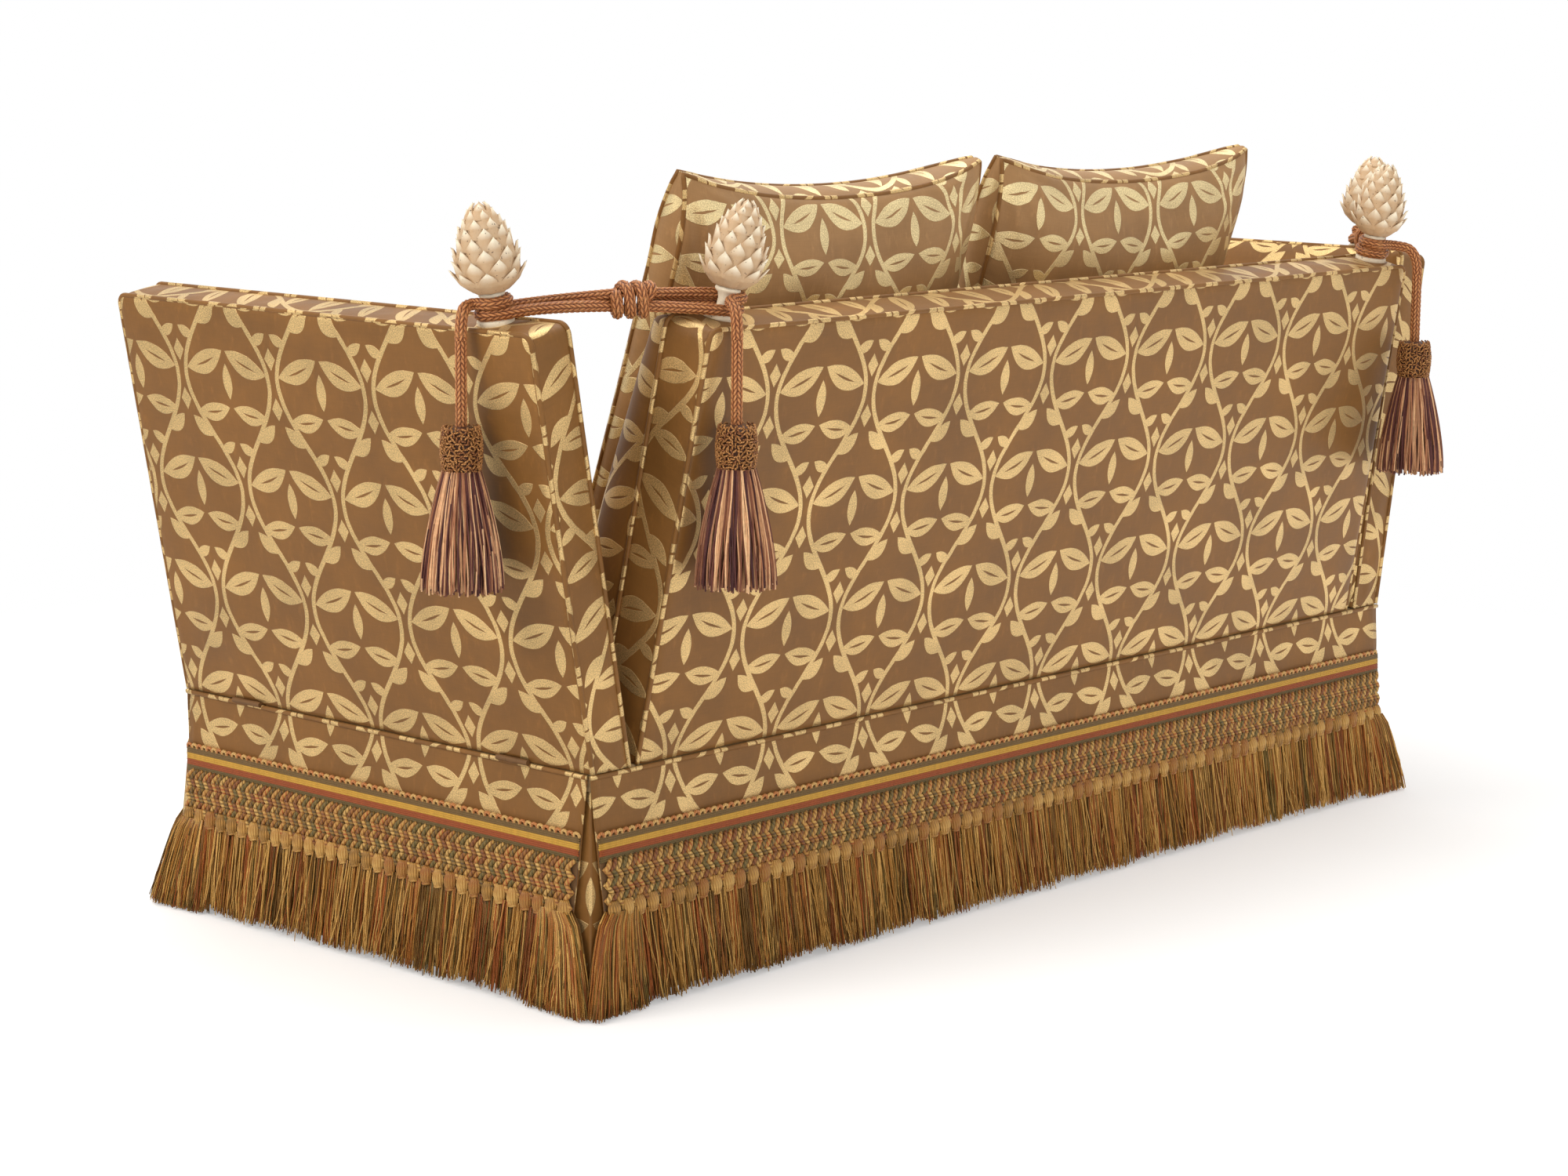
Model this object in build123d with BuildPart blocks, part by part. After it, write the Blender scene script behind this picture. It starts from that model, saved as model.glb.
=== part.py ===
from build123d import *
import os
from math import cos, hypot, radians, sin, tan

# A sofa with a high straight back and two drop arms. Each arm is hinged along its outer lower edge
# and is tied to the back by a cord that runs between two carved finials.
# Millimetres. +Z is up and the sitter faces -Y. Right is +X, as someone in front of the sofa sees it.

# Overall sizes
seat_length = 1900
seat_depth = 850
seam_height = 325
rise = 590
arm_lean = 10.75
back_lean = 10.4
arm_to_back = 5.5
back_head_draw = 25

# Upholstery of the arms and back
cover = 6
skin = 8
welt_radius = 3.5
corner_round = 14
arm_boxing = 59
arm_pad_edge = 18
arm_pad_crown = 24
back_boxing = 72
back_pad_head = 50
back_pad_foot = 125
back_pad_crown = 14
running_gap = 0.5
soft_gap = 0.3

# Base frame
timber = 45
rail_height = 140
block_leg = 90
foot_radius = 32
foot_waist_radius = 20
foot_pad_radius = 26
foot_pad_height = 22
strap_width = 50
strap_thickness = 2.5
strap_pitch = 130
deck_rise = 47
deck_nose_round = 18
deck_set_in = 90

# Hinges of the arms
knuckle_radius = 4
pin_radius = 2
pin_clearance = 0.05
knuckle_length = 20
knuckle_gap = 0.3
leaf_width = 34
leaf_thickness = 2.5
hinge_from_end = 145

# Skirt and trimming
skirt_thickness = 6
skirt_bottom = 10
trim_drop = 80
trim_height = 111
fringe_bottom = 6
flare_at_trim_top = 6
flare_at_trim_bottom = 14
flare_at_floor = 27
trim_thickness = 6
braid_height = 34
braid_thickness = 2.5
flute_pitch = 25
flute_depth = 5
fringe_thickness = 7
pleat_width = 70
pleat_drop = 35
pleat_opening = 12
pleat_thickness = 2

# Finials
finial_disc_radius = 25
finial_disc_height = 8
finial_neck_radius = 11
finial_neck_top = 43
finial_collar_radius = 19
finial_collar_height = 7
finial_height = 165
finial_radius = 48
row_girth_shares = (0.94, 1.0, 0.93, 0.8, 0.62, 0.4)
row_root_share = 0.84
row_lip_share = 0.72
row_top_share = 0.8
scales_in_row = 9
tip_share = 0.16
arm_finial_from_rear = 101
arm_finial_from_edge = 40
back_finial_from_edge = 50
right_finial_from_end = 68
left_finial_from_end = 34
right_finial_tilt = 7

# Cords and tassels
rope_radius = 7.5
rope_sides = 10
rope_rest = 0.5
neck_gap = 1.2
hang_out = 17
bend_leg = 40
arm_cord_splay = -13
back_cord_splay = 20
knot_winding_radius = 18
knot_turns = 3
knot_pitch = 17.5
knot_share = 0.41
knot_rise = 37
strand_spread = 7.8
loop_reach = 66
bight_ease_share = 1.1
reach_narrow_share = 0.85
strand_tuck = 4
run_share = 0.45
cord_drop = 111
tassel_head_height = 61
tassel_head_radius = 29
tassel_round = 12
tassel_waist_radius = 24
tassel_skirt_height = 155
tassel_skirt_radius = 55
tassel_skirt_top_radius = 30

# Cushions
seat_cushion_edge = 130
seat_cushion_crown = 25
seat_cushion_overhang = 6
seat_cushion_to_arm = 4
seat_cushion_draw = 14
back_cushion_room = 183.5
back_cushion_shift = 77
back_cushion_taper = 20
back_cushion_height = 628
back_cushion_thickness = 172
back_cushion_crown = 36
back_cushion_draw = 18
back_cushion_dip = 30
back_cushion_sink = 6

# Worked out from the sizes above
half_length = seat_length / 2
half_depth = seat_depth / 2
arm_tilt = radians(arm_lean)
back_tilt = radians(back_lean)
arm_slope = rise / cos(arm_tilt)
back_slope = rise / cos(back_tilt)
arm_thickness = skin + arm_boxing + arm_pad_edge
arm_toe = arm_thickness + arm_pad_crown
inner_half_length = half_length - arm_thickness / cos(arm_tilt)
back_foot_width = 2 * (inner_half_length - arm_to_back)
back_head_width = back_foot_width - 2 * back_head_draw
back_thickness = skin + back_boxing + back_pad_foot
deck_height = seam_height + deck_rise
trim_top = seam_height - trim_drop
trim_bottom = trim_top - trim_height
pleat_top = seam_height - pleat_drop
frame_half_length = half_length - cover
frame_half_depth = half_depth - cover
rail_inner_x = frame_half_length - timber
rail_inner_y = frame_half_depth - timber
foot_height = seam_height - rail_height
end_slope = (back_foot_width - back_head_width) / 2 / rise
end_cover = cover * hypot(1, end_slope * cos(back_tilt))
hinge_x = half_length + knuckle_radius + knuckle_gap
hinge_length = 3 * knuckle_length + 2 * knuckle_gap
hinge_centres = (hinge_from_end - half_depth, half_depth - hinge_from_end)
wrap_half = finial_neck_radius + rope_radius + neck_gap
lower_level = finial_disc_height + rope_radius + rope_rest
upper_level = lower_level + 2 * rope_radius + rope_rest
knot_level = seam_height + rise + knot_rise
knot_half_length = knot_turns * knot_pitch / 2 + rope_radius
back_pad_foot_y = half_depth - back_thickness / cos(back_tilt)
back_cushion_width = inner_half_length - back_cushion_room
pieces = []


def keep(builder, name):
    """Name a finished piece and set it aside for writing."""
    builder.part.label = name
    pieces.append(builder.part)


def side_name(side):
    return "right" if side > 0 else "left"


def arm_face(side):
    """Outer face of an arm: its origin lies on the seam, and its Y runs up the slope."""
    return Plane(
        origin=(side * half_length, 0, seam_height),
        x_dir=(0, side, 0),
        z_dir=(side * cos(arm_tilt), 0, -sin(arm_tilt)),
    )


def back_face():
    """Outer face of the back, with its Y up the slope and its X towards the left."""
    return Plane(
        origin=(0, half_depth, seam_height),
        x_dir=(-1, 0, 0),
        z_dir=(0, cos(back_tilt), -sin(back_tilt)),
    )


def arm_outline():
    """Front, top and rear edges of an arm, from below the seam and back to it."""
    return [
        (-half_depth, -arm_toe),
        (-half_depth, arm_slope),
        (half_depth, arm_slope),
        (half_depth, -arm_toe),
    ]


def back_half_width(height):
    """Half width of the back at a distance up its slope."""
    return back_foot_width / 2 - end_slope * height * cos(back_tilt)


def back_outline():
    """End and top edges of the back, from below the seam and back to it."""
    toe = -back_thickness
    return [
        (-back_half_width(toe), toe),
        (-back_half_width(back_slope), back_slope),
        (back_half_width(back_slope), back_slope),
        (back_half_width(toe), toe),
    ]


def panel_shape(face, outline):
    """A closed panel outline on a face, with its two top corners rounded."""
    with BuildSketch(face) as shape:
        with BuildLine():
            Polyline(*outline, close=True)
        make_face()
        fillet(shape.vertices().group_by(Axis.Y)[-1], corner_round)
    return shape.sketch


def border_shape(face, outline):
    """The edge of a panel outline, one cover thick."""
    with BuildSketch(face) as shape:
        with BuildLine():
            Polyline(*outline, close=True)
        make_face()
        fillet(shape.vertices().group_by(Axis.Y)[-1], corner_round)
        offset(amount=-cover, mode=Mode.SUBTRACT)
    return shape.sketch


def welt(face, outline):
    """A welt along an open outline drawn on a face, with its corners rounded."""
    with BuildPart() as cord:
        with BuildLine(face) as seam:
            FilletPolyline(*outline, radius=corner_round)
        route = seam.wires()[0]
        with BuildSketch(Plane(origin=route @ 0, z_dir=route % 0)):
            Circle(welt_radius)
        sweep(path=route)
    return cord.part


# Arms


def arm_outer_panel(side):
    face = arm_face(side)
    edge = welt(face.offset(-skin / 2), arm_outline())
    with BuildPart() as panel:
        extrude(panel_shape(face.offset(-skin), arm_outline()), amount=skin)
        add(edge)
        add(hinge_pocket(side, seam_height + running_gap), mode=Mode.SUBTRACT)
        split(bisect_by=Plane.XY.offset(seam_height + running_gap), keep=Keep.TOP)
    keep(panel, f"arm_outer_panel_{side_name(side)}")


def arm_border(side):
    with BuildPart() as border:
        extrude(border_shape(arm_face(side).offset(-skin - arm_boxing), arm_outline()), amount=arm_boxing)
        split(bisect_by=Plane.XY.offset(seam_height + running_gap), keep=Keep.TOP)
    keep(border, f"arm_border_{side_name(side)}")


def arm_frame(side):
    """Front and rear posts, joined by a top, a middle and a bottom rail."""
    post_centre = half_depth - cover - timber / 2
    top = arm_slope - cover
    width = 2 * (half_depth - cover)
    with BuildPart() as frame:
        with BuildSketch(arm_face(side).offset(-skin - arm_boxing)) as front:
            for centre in (-post_centre, post_centre):
                with Locations((centre, top)):
                    Rectangle(timber, top + arm_toe, align=(Align.CENTER, Align.MAX))
            with Locations((0, top)):
                Rectangle(width, timber, align=(Align.CENTER, Align.MAX))
            with Locations((0, arm_slope / 2)):
                Rectangle(width, timber)
            with Locations((0, timber + cover)):
                Rectangle(width, arm_toe, align=(Align.CENTER, Align.MAX))
            fillet(front.vertices().group_by(Axis.Y)[-1], corner_round - cover)
        extrude(amount=arm_boxing)
        add(hinge_pocket(side, seam_height + running_gap), mode=Mode.SUBTRACT)
        split(bisect_by=Plane.XY.offset(seam_height + running_gap), keep=Keep.TOP)
    keep(frame, f"arm_frame_{side_name(side)}")


def arm_inner_pad(side):
    """Padding on the sitter's side, crowned along and across the arm."""
    face = arm_face(1).offset(-skin - arm_boxing)
    depth = arm_pad_edge + arm_pad_crown
    reach = half_depth + welt_radius
    edge = welt(face.offset(-skin / 2), arm_outline())
    with BuildPart() as pad:
        extrude(panel_shape(face, arm_outline()), amount=-depth)
        with BuildSketch(Plane(origin=face.origin, x_dir=face.x_dir, z_dir=-face.y_dir).offset(arm_toe)):
            with BuildLine():
                Polyline((-reach, -arm_pad_edge), (-reach, 0), (reach, 0), (reach, -arm_pad_edge))
                ThreePointArc((reach, -arm_pad_edge), (0, -depth), (-reach, -arm_pad_edge))
            make_face()
        extrude(amount=-arm_slope - 2 * arm_toe, mode=Mode.INTERSECT)
        with BuildSketch(Plane(origin=face.origin, x_dir=face.y_dir, z_dir=face.x_dir).offset(-reach)):
            with BuildLine():
                Polyline(
                    (arm_slope + cover, -arm_pad_edge),
                    (arm_slope + cover, 0),
                    (-arm_toe, 0),
                    (-arm_toe, -arm_pad_edge),
                    (0, -arm_pad_edge),
                )
                ThreePointArc((0, -arm_pad_edge), (arm_slope / 2, -depth), (arm_slope + cover, -arm_pad_edge))
            make_face()
        extrude(amount=2 * reach, mode=Mode.INTERSECT)
        add(edge)
        split(bisect_by=Plane.XY.offset(seam_height + running_gap), keep=Keep.TOP)
        if side < 0:
            mirror(about=Plane.YZ, mode=Mode.REPLACE)
    keep(pad, f"arm_inner_pad_{side_name(side)}")


# Back


def back_outer_panel():
    face = back_face()
    edge = welt(face.offset(-skin / 2), back_outline())
    with BuildPart() as panel:
        extrude(panel_shape(face.offset(-skin), back_outline()), amount=skin)
        add(edge)
        split(bisect_by=Plane.XY.offset(seam_height), keep=Keep.TOP)
    keep(panel, "back_outer_panel")


def back_border():
    with BuildPart() as border:
        extrude(border_shape(back_face().offset(-skin - back_boxing), back_outline()), amount=back_boxing)
        split(bisect_by=Plane.XY.offset(seam_height), keep=Keep.TOP)
    keep(border, "back_border")


def back_frame():
    """Two end posts, a centre post, and the top and lower rails between them."""
    depth = back_boxing - strap_thickness
    top = back_slope - cover
    toe = -back_thickness
    with BuildPart() as frame:
        with BuildSketch(back_face().offset(-skin - depth)) as front:
            with BuildLine():
                Polyline(
                    (end_cover - back_half_width(toe), toe),
                    (end_cover - back_half_width(top), top),
                    (back_half_width(top) - end_cover, top),
                    (back_half_width(toe) - end_cover, toe),
                    close=True,
                )
            make_face()
            fillet(front.vertices().group_by(Axis.Y)[-1], corner_round - cover)
            for low, high in ((toe, timber), (2 * timber, top - timber)):
                for side in (1, -1):
                    with BuildLine():
                        Polyline(
                            (side * timber / 2, low),
                            (side * timber / 2, high),
                            (side * (back_half_width(high) - cover - timber), high),
                            (side * (back_half_width(low) - cover - timber), low),
                            close=True,
                        )
                    make_face(mode=Mode.SUBTRACT)
        extrude(amount=depth)
        split(bisect_by=Plane.XY.offset(seam_height), keep=Keep.TOP)
    keep(frame, "back_frame")


def back_webbing():
    """Upright straps over the front of the back frame."""
    count = int((back_head_width / 2 - cover - timber) // strap_pitch)
    with BuildPart() as straps:
        with BuildSketch(back_face().offset(-skin - back_boxing)):
            for number in range(-count, count + 1):
                with Locations((number * strap_pitch, timber)):
                    Rectangle(strap_width, back_slope - cover - timber, align=(Align.CENTER, Align.MIN))
        extrude(amount=strap_thickness)
    keep(straps, "back_webbing")


def back_inner_pad():
    """Padding on the sitter's side: thin at the head and thick at the seat."""
    face = back_face().offset(-skin - back_boxing)
    reach = back_half_width(-back_thickness) + welt_radius
    head = back_slope + cover
    middle = (back_pad_head + back_pad_foot) / 2 + back_pad_crown
    foot_spread = (back_pad_foot - back_pad_head) / back_slope * back_thickness
    edge = welt(face.offset(-skin / 2), back_outline())
    with BuildPart() as pad:
        with BuildSketch(Plane(origin=face.origin, x_dir=face.y_dir, z_dir=face.x_dir).offset(-reach)):
            with BuildLine():
                Polyline(
                    (head, -back_pad_head),
                    (head, 0),
                    (-back_thickness, 0),
                    (-back_thickness, -back_pad_foot - foot_spread),
                    (0, -back_pad_foot),
                )
                ThreePointArc((0, -back_pad_foot), (back_slope / 2, -middle), (head, -back_pad_head))
            make_face()
        extrude(amount=2 * reach)
        extrude(panel_shape(face, back_outline()), amount=-back_thickness, mode=Mode.INTERSECT)
        add(edge)
        split(bisect_by=Plane.XY.offset(seam_height), keep=Keep.TOP)
    keep(pad, "back_inner_pad")
    return pad.part


# Base


def rail(name, length_x, length_y, centre, drop):
    with BuildPart() as base_rail:
        with BuildSketch(Plane.XY.offset(foot_height)):
            with Locations(centre):
                Rectangle(length_x, length_y)
        extrude(amount=rail_height - drop)
    keep(base_rail, name)


def side_rail(side):
    """A side rail, with its top cut away where the hinge leaves are let in."""
    middle = rail_inner_x + timber / 2
    with BuildPart() as base_rail:
        with BuildSketch(Plane.XY.offset(foot_height)):
            with Locations((side * middle, 0)):
                Rectangle(timber, 2 * rail_inner_y)
        extrude(amount=rail_height)
        add(hinge_pocket(side, seam_height - leaf_thickness), mode=Mode.SUBTRACT)
    keep(base_rail, f"side_rail_{side_name(side)}")


def base_rails():
    middle_y = rail_inner_y + timber / 2
    webbing_drop = cover + 2 * strap_thickness
    rail("front_rail", 2 * frame_half_length, timber, (0, -middle_y), 0)
    rail("rear_rail", 2 * frame_half_length, timber, (0, middle_y), 0)
    rail("centre_rail", timber, 2 * rail_inner_y, (0, 0), webbing_drop)


def corner_blocks():
    """Triangular glue blocks in the four corners of the base frame."""
    with BuildPart() as blocks:
        with BuildSketch(Plane.XY.offset(foot_height)):
            for side_x in (1, -1):
                for side_y in (1, -1):
                    corner_x = side_x * rail_inner_x
                    corner_y = side_y * rail_inner_y
                    with BuildLine():
                        Polyline(
                            (corner_x, corner_y),
                            (corner_x - side_x * block_leg, corner_y),
                            (corner_x, corner_y - side_y * block_leg),
                            close=True,
                        )
                    make_face()
        extrude(amount=rail_height - timber)
    keep(blocks, "corner_blocks")


def feet():
    """Six turned feet under the long rails."""
    reach_x = frame_half_length - foot_radius
    reach_y = frame_half_depth - foot_radius
    shoulder = foot_height - foot_pad_height
    with BuildPart() as turned_foot:
        with BuildSketch(Plane.XZ):
            with BuildLine():
                Polyline((0, foot_height), (0, 0), (foot_pad_radius, 0), (foot_pad_radius, foot_pad_height))
                ThreePointArc(
                    (foot_pad_radius, foot_pad_height),
                    (foot_waist_radius, foot_height / 2),
                    (foot_radius, shoulder),
                )
                Polyline((foot_radius, shoulder), (foot_radius, foot_height), (0, foot_height))
            make_face()
        revolve(axis=Axis.Z)
    with BuildPart() as all_feet:
        with Locations(*[(x, y, 0) for x in (-reach_x, 0, reach_x) for y in (-reach_y, reach_y)]):
            add(turned_foot.part)
    keep(all_feet, "feet")


def seat_webbing():
    """Straps across the base frame: one layer front to rear, one layer side to side."""
    level = seam_height - cover - 2 * strap_thickness
    count_x = int(rail_inner_x // strap_pitch)
    count_y = int(rail_inner_y // strap_pitch)
    with BuildPart() as straps:
        with BuildSketch(Plane.XY.offset(level)):
            for number in range(-count_x, count_x + 1):
                with Locations((number * strap_pitch, 0)):
                    Rectangle(strap_width, 2 * rail_inner_y)
        extrude(amount=strap_thickness)
        with BuildSketch(Plane.XY.offset(level + strap_thickness)):
            for number in range(-count_y, count_y + 1):
                with Locations((0, number * strap_pitch)):
                    Rectangle(2 * rail_inner_x, strap_width)
        extrude(amount=strap_thickness)
    keep(straps, "seat_webbing")


def deck_pad():
    """Upholstered deck over the webbing, with a rolled front edge."""
    low = seam_height - cover
    rear = half_depth - back_thickness / cos(back_tilt) - cover
    deck_half_length = half_length - deck_set_in
    with BuildPart() as deck:
        with BuildSketch(Plane.YZ.offset(-deck_half_length)) as section:
            with BuildLine():
                Polyline(
                    (-half_depth, seam_height),
                    (-rail_inner_y, seam_height),
                    (-rail_inner_y, low),
                    (rail_inner_y, low),
                    (rail_inner_y, seam_height),
                    (rear, seam_height),
                    (rear, deck_height),
                    (-half_depth, deck_height),
                    close=True,
                )
            make_face()
            fillet(section.vertices().group_by(Axis.X)[0].sort_by(Axis.Y)[-1], deck_nose_round)
        extrude(amount=2 * deck_half_length)
    keep(deck, "deck_pad")


# Hinges of the arms


def hinge_line(side, along):
    """Plane across the hinge line at a distance along the arm, looking to the rear."""
    return Plane(origin=(side * hinge_x, along, seam_height), x_dir=(-1, 0, 0), z_dir=(0, 1, 0))


def hinge_pocket(side, level):
    """Room for the leaves of an arm's two hinges, in what they are let into."""
    with BuildPart() as pocket:
        with BuildSketch(Plane.XY.offset(level)):
            for centre in hinge_centres:
                with Locations((side * hinge_x, centre)):
                    Rectangle(2 * (leaf_width + knuckle_gap), hinge_length + 2 * knuckle_gap)
        extrude(amount=leaf_thickness)
    return pocket.part


def hinge_leaves(side, level, knuckle_starts, clear_starts, name):
    """Two leaves on one level, with their own knuckles and room for those of the other leaves."""
    with BuildPart() as leaf:
        with BuildSketch(Plane.XY.offset(level)):
            for centre in hinge_centres:
                with Locations((side * (hinge_x - leaf_width / 2), centre)):
                    Rectangle(leaf_width, hinge_length)
        extrude(amount=leaf_thickness)
        for start in clear_starts:
            with BuildSketch(hinge_line(side, start - knuckle_gap)):
                Circle(knuckle_radius + knuckle_gap)
            extrude(amount=knuckle_length + 2 * knuckle_gap, mode=Mode.SUBTRACT)
        for start in knuckle_starts:
            with BuildSketch(hinge_line(side, start)):
                Circle(knuckle_radius)
            extrude(amount=knuckle_length)
        for centre in hinge_centres:
            with BuildSketch(hinge_line(side, centre - hinge_length / 2)):
                Circle(pin_radius + pin_clearance)
            extrude(amount=hinge_length, mode=Mode.SUBTRACT)
    keep(leaf, f"{name}_{side_name(side)}")


def hinges(side):
    middle = [centre - knuckle_length / 2 for centre in hinge_centres]
    outer = [centre - hinge_length / 2 for centre in hinge_centres]
    outer += [centre + hinge_length / 2 - knuckle_length for centre in hinge_centres]
    hinge_leaves(side, seam_height - leaf_thickness, outer, middle, "hinge_base_leaves")
    hinge_leaves(side, seam_height + running_gap, middle, outer, "hinge_arm_leaves")


def hinge_pins():
    with BuildPart() as pins:
        for side in (1, -1):
            for centre in hinge_centres:
                with BuildSketch(hinge_line(side, centre - hinge_length / 2)):
                    Circle(pin_radius)
                extrude(amount=hinge_length)
    keep(pins, "hinge_pins")


# Skirt, trimming and pleats


def side_section(outward, reach, shift):
    """Section plane of one side of the sofa: X points outwards from the seam and Y up."""
    across = Vector(*outward).cross(Vector(0, 0, 1))
    origin = Vector(*outward) * reach + across * shift
    return Plane(origin=origin, x_dir=outward, z_dir=across)


def end_cut(outward, end, reach, length):
    """Slanted plane that draws the end of a skirt back from the corner towards the floor."""
    across = Vector(*outward).cross(Vector(0, 0, 1)) * end
    corner = Vector(*outward) * reach + across * (length / 2) + Vector(0, 0, seam_height)
    slope = (across * -pleat_opening - Vector(0, 0, seam_height - trim_bottom)).normalized()
    return Plane(origin=corner, x_dir=outward, z_dir=slope.cross(Vector(*outward)) * end)


def skirt(name, outward, reach, length, pockets):
    """Fabric skirt with a welt along its seam, kicked out towards the floor."""
    sheet = skirt_thickness
    with BuildPart() as panel:
        with BuildSketch(side_section(outward, reach, -length / 2)):
            with BuildLine():
                Polyline(
                    (-sheet, seam_height),
                    (0, seam_height),
                    (flare_at_trim_top, trim_top),
                    (flare_at_trim_bottom, trim_bottom),
                    (flare_at_floor, skirt_bottom),
                    (flare_at_floor - sheet, skirt_bottom),
                    (flare_at_trim_bottom - sheet, trim_bottom),
                    (flare_at_trim_top - sheet, trim_top),
                    close=True,
                )
            make_face()
            with Locations((0, seam_height - welt_radius - running_gap)):
                Circle(welt_radius)
        extrude(amount=length)
        for end in (1, -1):
            split(bisect_by=end_cut(outward, end, reach, length), keep=Keep.BOTTOM)
        for pocket in pockets:
            add(pocket, mode=Mode.SUBTRACT)
    keep(panel, f"skirt_{name}")


def knuckle_room(side):
    """Notches in the top of a side skirt, round the knuckles of the hinges."""
    with BuildPart() as room:
        for centre in hinge_centres:
            with BuildSketch(hinge_line(side, centre - hinge_length / 2 - knuckle_gap)):
                Circle(knuckle_radius + running_gap)
            extrude(amount=hinge_length + 2 * knuckle_gap)
    return room.part


def trim(name, outward, reach, length):
    """Braid and lattice sewn on the skirt, with the fluted fringe that hangs from them."""
    along = Vector(*outward).cross(Vector(0, 0, 1))
    fall = trim_bottom - fringe_bottom
    kick = (flare_at_floor - flare_at_trim_bottom) * fall / (trim_bottom - skirt_bottom)
    slant = Vector(*outward) * kick - Vector(0, 0, fall)
    inner = reach + flare_at_trim_bottom + soft_gap
    steps = 2 * round(length / flute_pitch)
    crests = []
    for step in range(steps + 1):
        crests.append((length * (step / steps - 0.5), inner + fringe_thickness + flute_depth * (step % 2)))
    corners = [(-length / 2, inner)] + crests + [(length / 2, inner)]
    lattice_top = trim_top - braid_height
    lattice_share = (trim_top - lattice_top) / (trim_top - trim_bottom)
    lattice_flare = flare_at_trim_top + (flare_at_trim_bottom - flare_at_trim_top) * lattice_share
    with BuildPart() as band:
        with BuildSketch(side_section(outward, reach, -length / 2)):
            with BuildLine():
                Polyline(
                    (flare_at_trim_top, trim_top),
                    (flare_at_trim_top + braid_thickness, trim_top),
                    (lattice_flare + braid_thickness, lattice_top),
                    (lattice_flare + trim_thickness, lattice_top),
                    (flare_at_trim_bottom + trim_thickness, trim_bottom),
                    (flare_at_trim_bottom, trim_bottom),
                    close=True,
                )
            make_face()
        extrude(amount=length)
        for end in (1, -1):
            split(bisect_by=end_cut(outward, end, reach, length), keep=Keep.BOTTOM)
        with BuildSketch(Plane(origin=(0, 0, trim_bottom), x_dir=along, z_dir=(0, 0, 1))):
            with BuildLine():
                Polyline(*corners, close=True)
            make_face()
        extrude(amount=slant.length, dir=slant)
    keep(band, f"trim_{name}")


def skirts_and_trims():
    for name, outward, reach, length, sides in (
        ("front", (0, -1, 0), half_depth, seat_length, ()),
        ("rear", (0, 1, 0), half_depth, seat_length, ()),
        ("right", (1, 0, 0), half_length, seat_depth - 2 * cover, (1,)),
        ("left", (-1, 0, 0), half_length, seat_depth - 2 * cover, (-1,)),
    ):
        pockets = [hinge_pocket(side, seam_height - leaf_thickness) for side in sides]
        pockets += [knuckle_room(side) for side in sides]
        skirt(name, outward, reach, length, pockets)
        trim(name, outward, reach, length)


def pleat_outline(side_x, side_y, flare):
    """Corner section of a pleat, just behind the skirt's sheet."""
    corner_x = half_length + flare - skirt_thickness - soft_gap
    corner_y = half_depth + flare - skirt_thickness - soft_gap
    points = [
        (corner_x, corner_y),
        (corner_x - pleat_width, corner_y),
        (corner_x - pleat_width, corner_y - pleat_thickness),
        (corner_x - pleat_thickness, corner_y - pleat_thickness),
        (corner_x - pleat_thickness, corner_y - pleat_width),
        (corner_x, corner_y - pleat_width),
    ]
    return [(side_x * x, side_y * y) for x, y in points]


def corner_pleats():
    """Inverted pleats that close the openings between the skirts at the corners."""
    top_flare = flare_at_trim_top * (seam_height - pleat_top) / (seam_height - trim_top)
    levels = (
        (pleat_top, top_flare),
        (trim_top, flare_at_trim_top),
        (trim_bottom, flare_at_trim_bottom),
        (skirt_bottom, flare_at_floor),
    )
    with BuildPart() as pleats:
        for side_x in (1, -1):
            for side_y in (1, -1):
                for level, flare in levels:
                    with BuildSketch(Plane.XY.offset(level)):
                        with BuildLine():
                            Polyline(*pleat_outline(side_x, side_y, flare), close=True)
                        make_face()
                loft(ruled=True)
    keep(pleats, "corner_pleats")


# Finials


def arm_top():
    """Seat of the right arm's finial: X points outwards, Y to the rear, Z along its axis."""
    face = arm_face(1)
    spot = face.from_local_coords((half_depth - arm_finial_from_rear, arm_slope, -arm_finial_from_edge))
    return Plane(origin=spot, x_dir=face.z_dir, z_dir=face.y_dir)


def back_top(side, tilt=0):
    """Seat of a back finial, drawn for the right end: X to the rear, Y to the middle, Z along its axis."""
    face = back_face()
    from_end = right_finial_from_end if side > 0 else left_finial_from_end
    spot = face.from_local_coords((from_end - back_head_width / 2, back_slope, -back_finial_from_edge))
    upright = face.y_dir * cos(radians(tilt)) + face.x_dir * sin(radians(tilt))
    return Plane(origin=spot, x_dir=face.z_dir, z_dir=upright)


def back_axis(side):
    return back_top(side, right_finial_tilt if side > 0 else 0)


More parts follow.
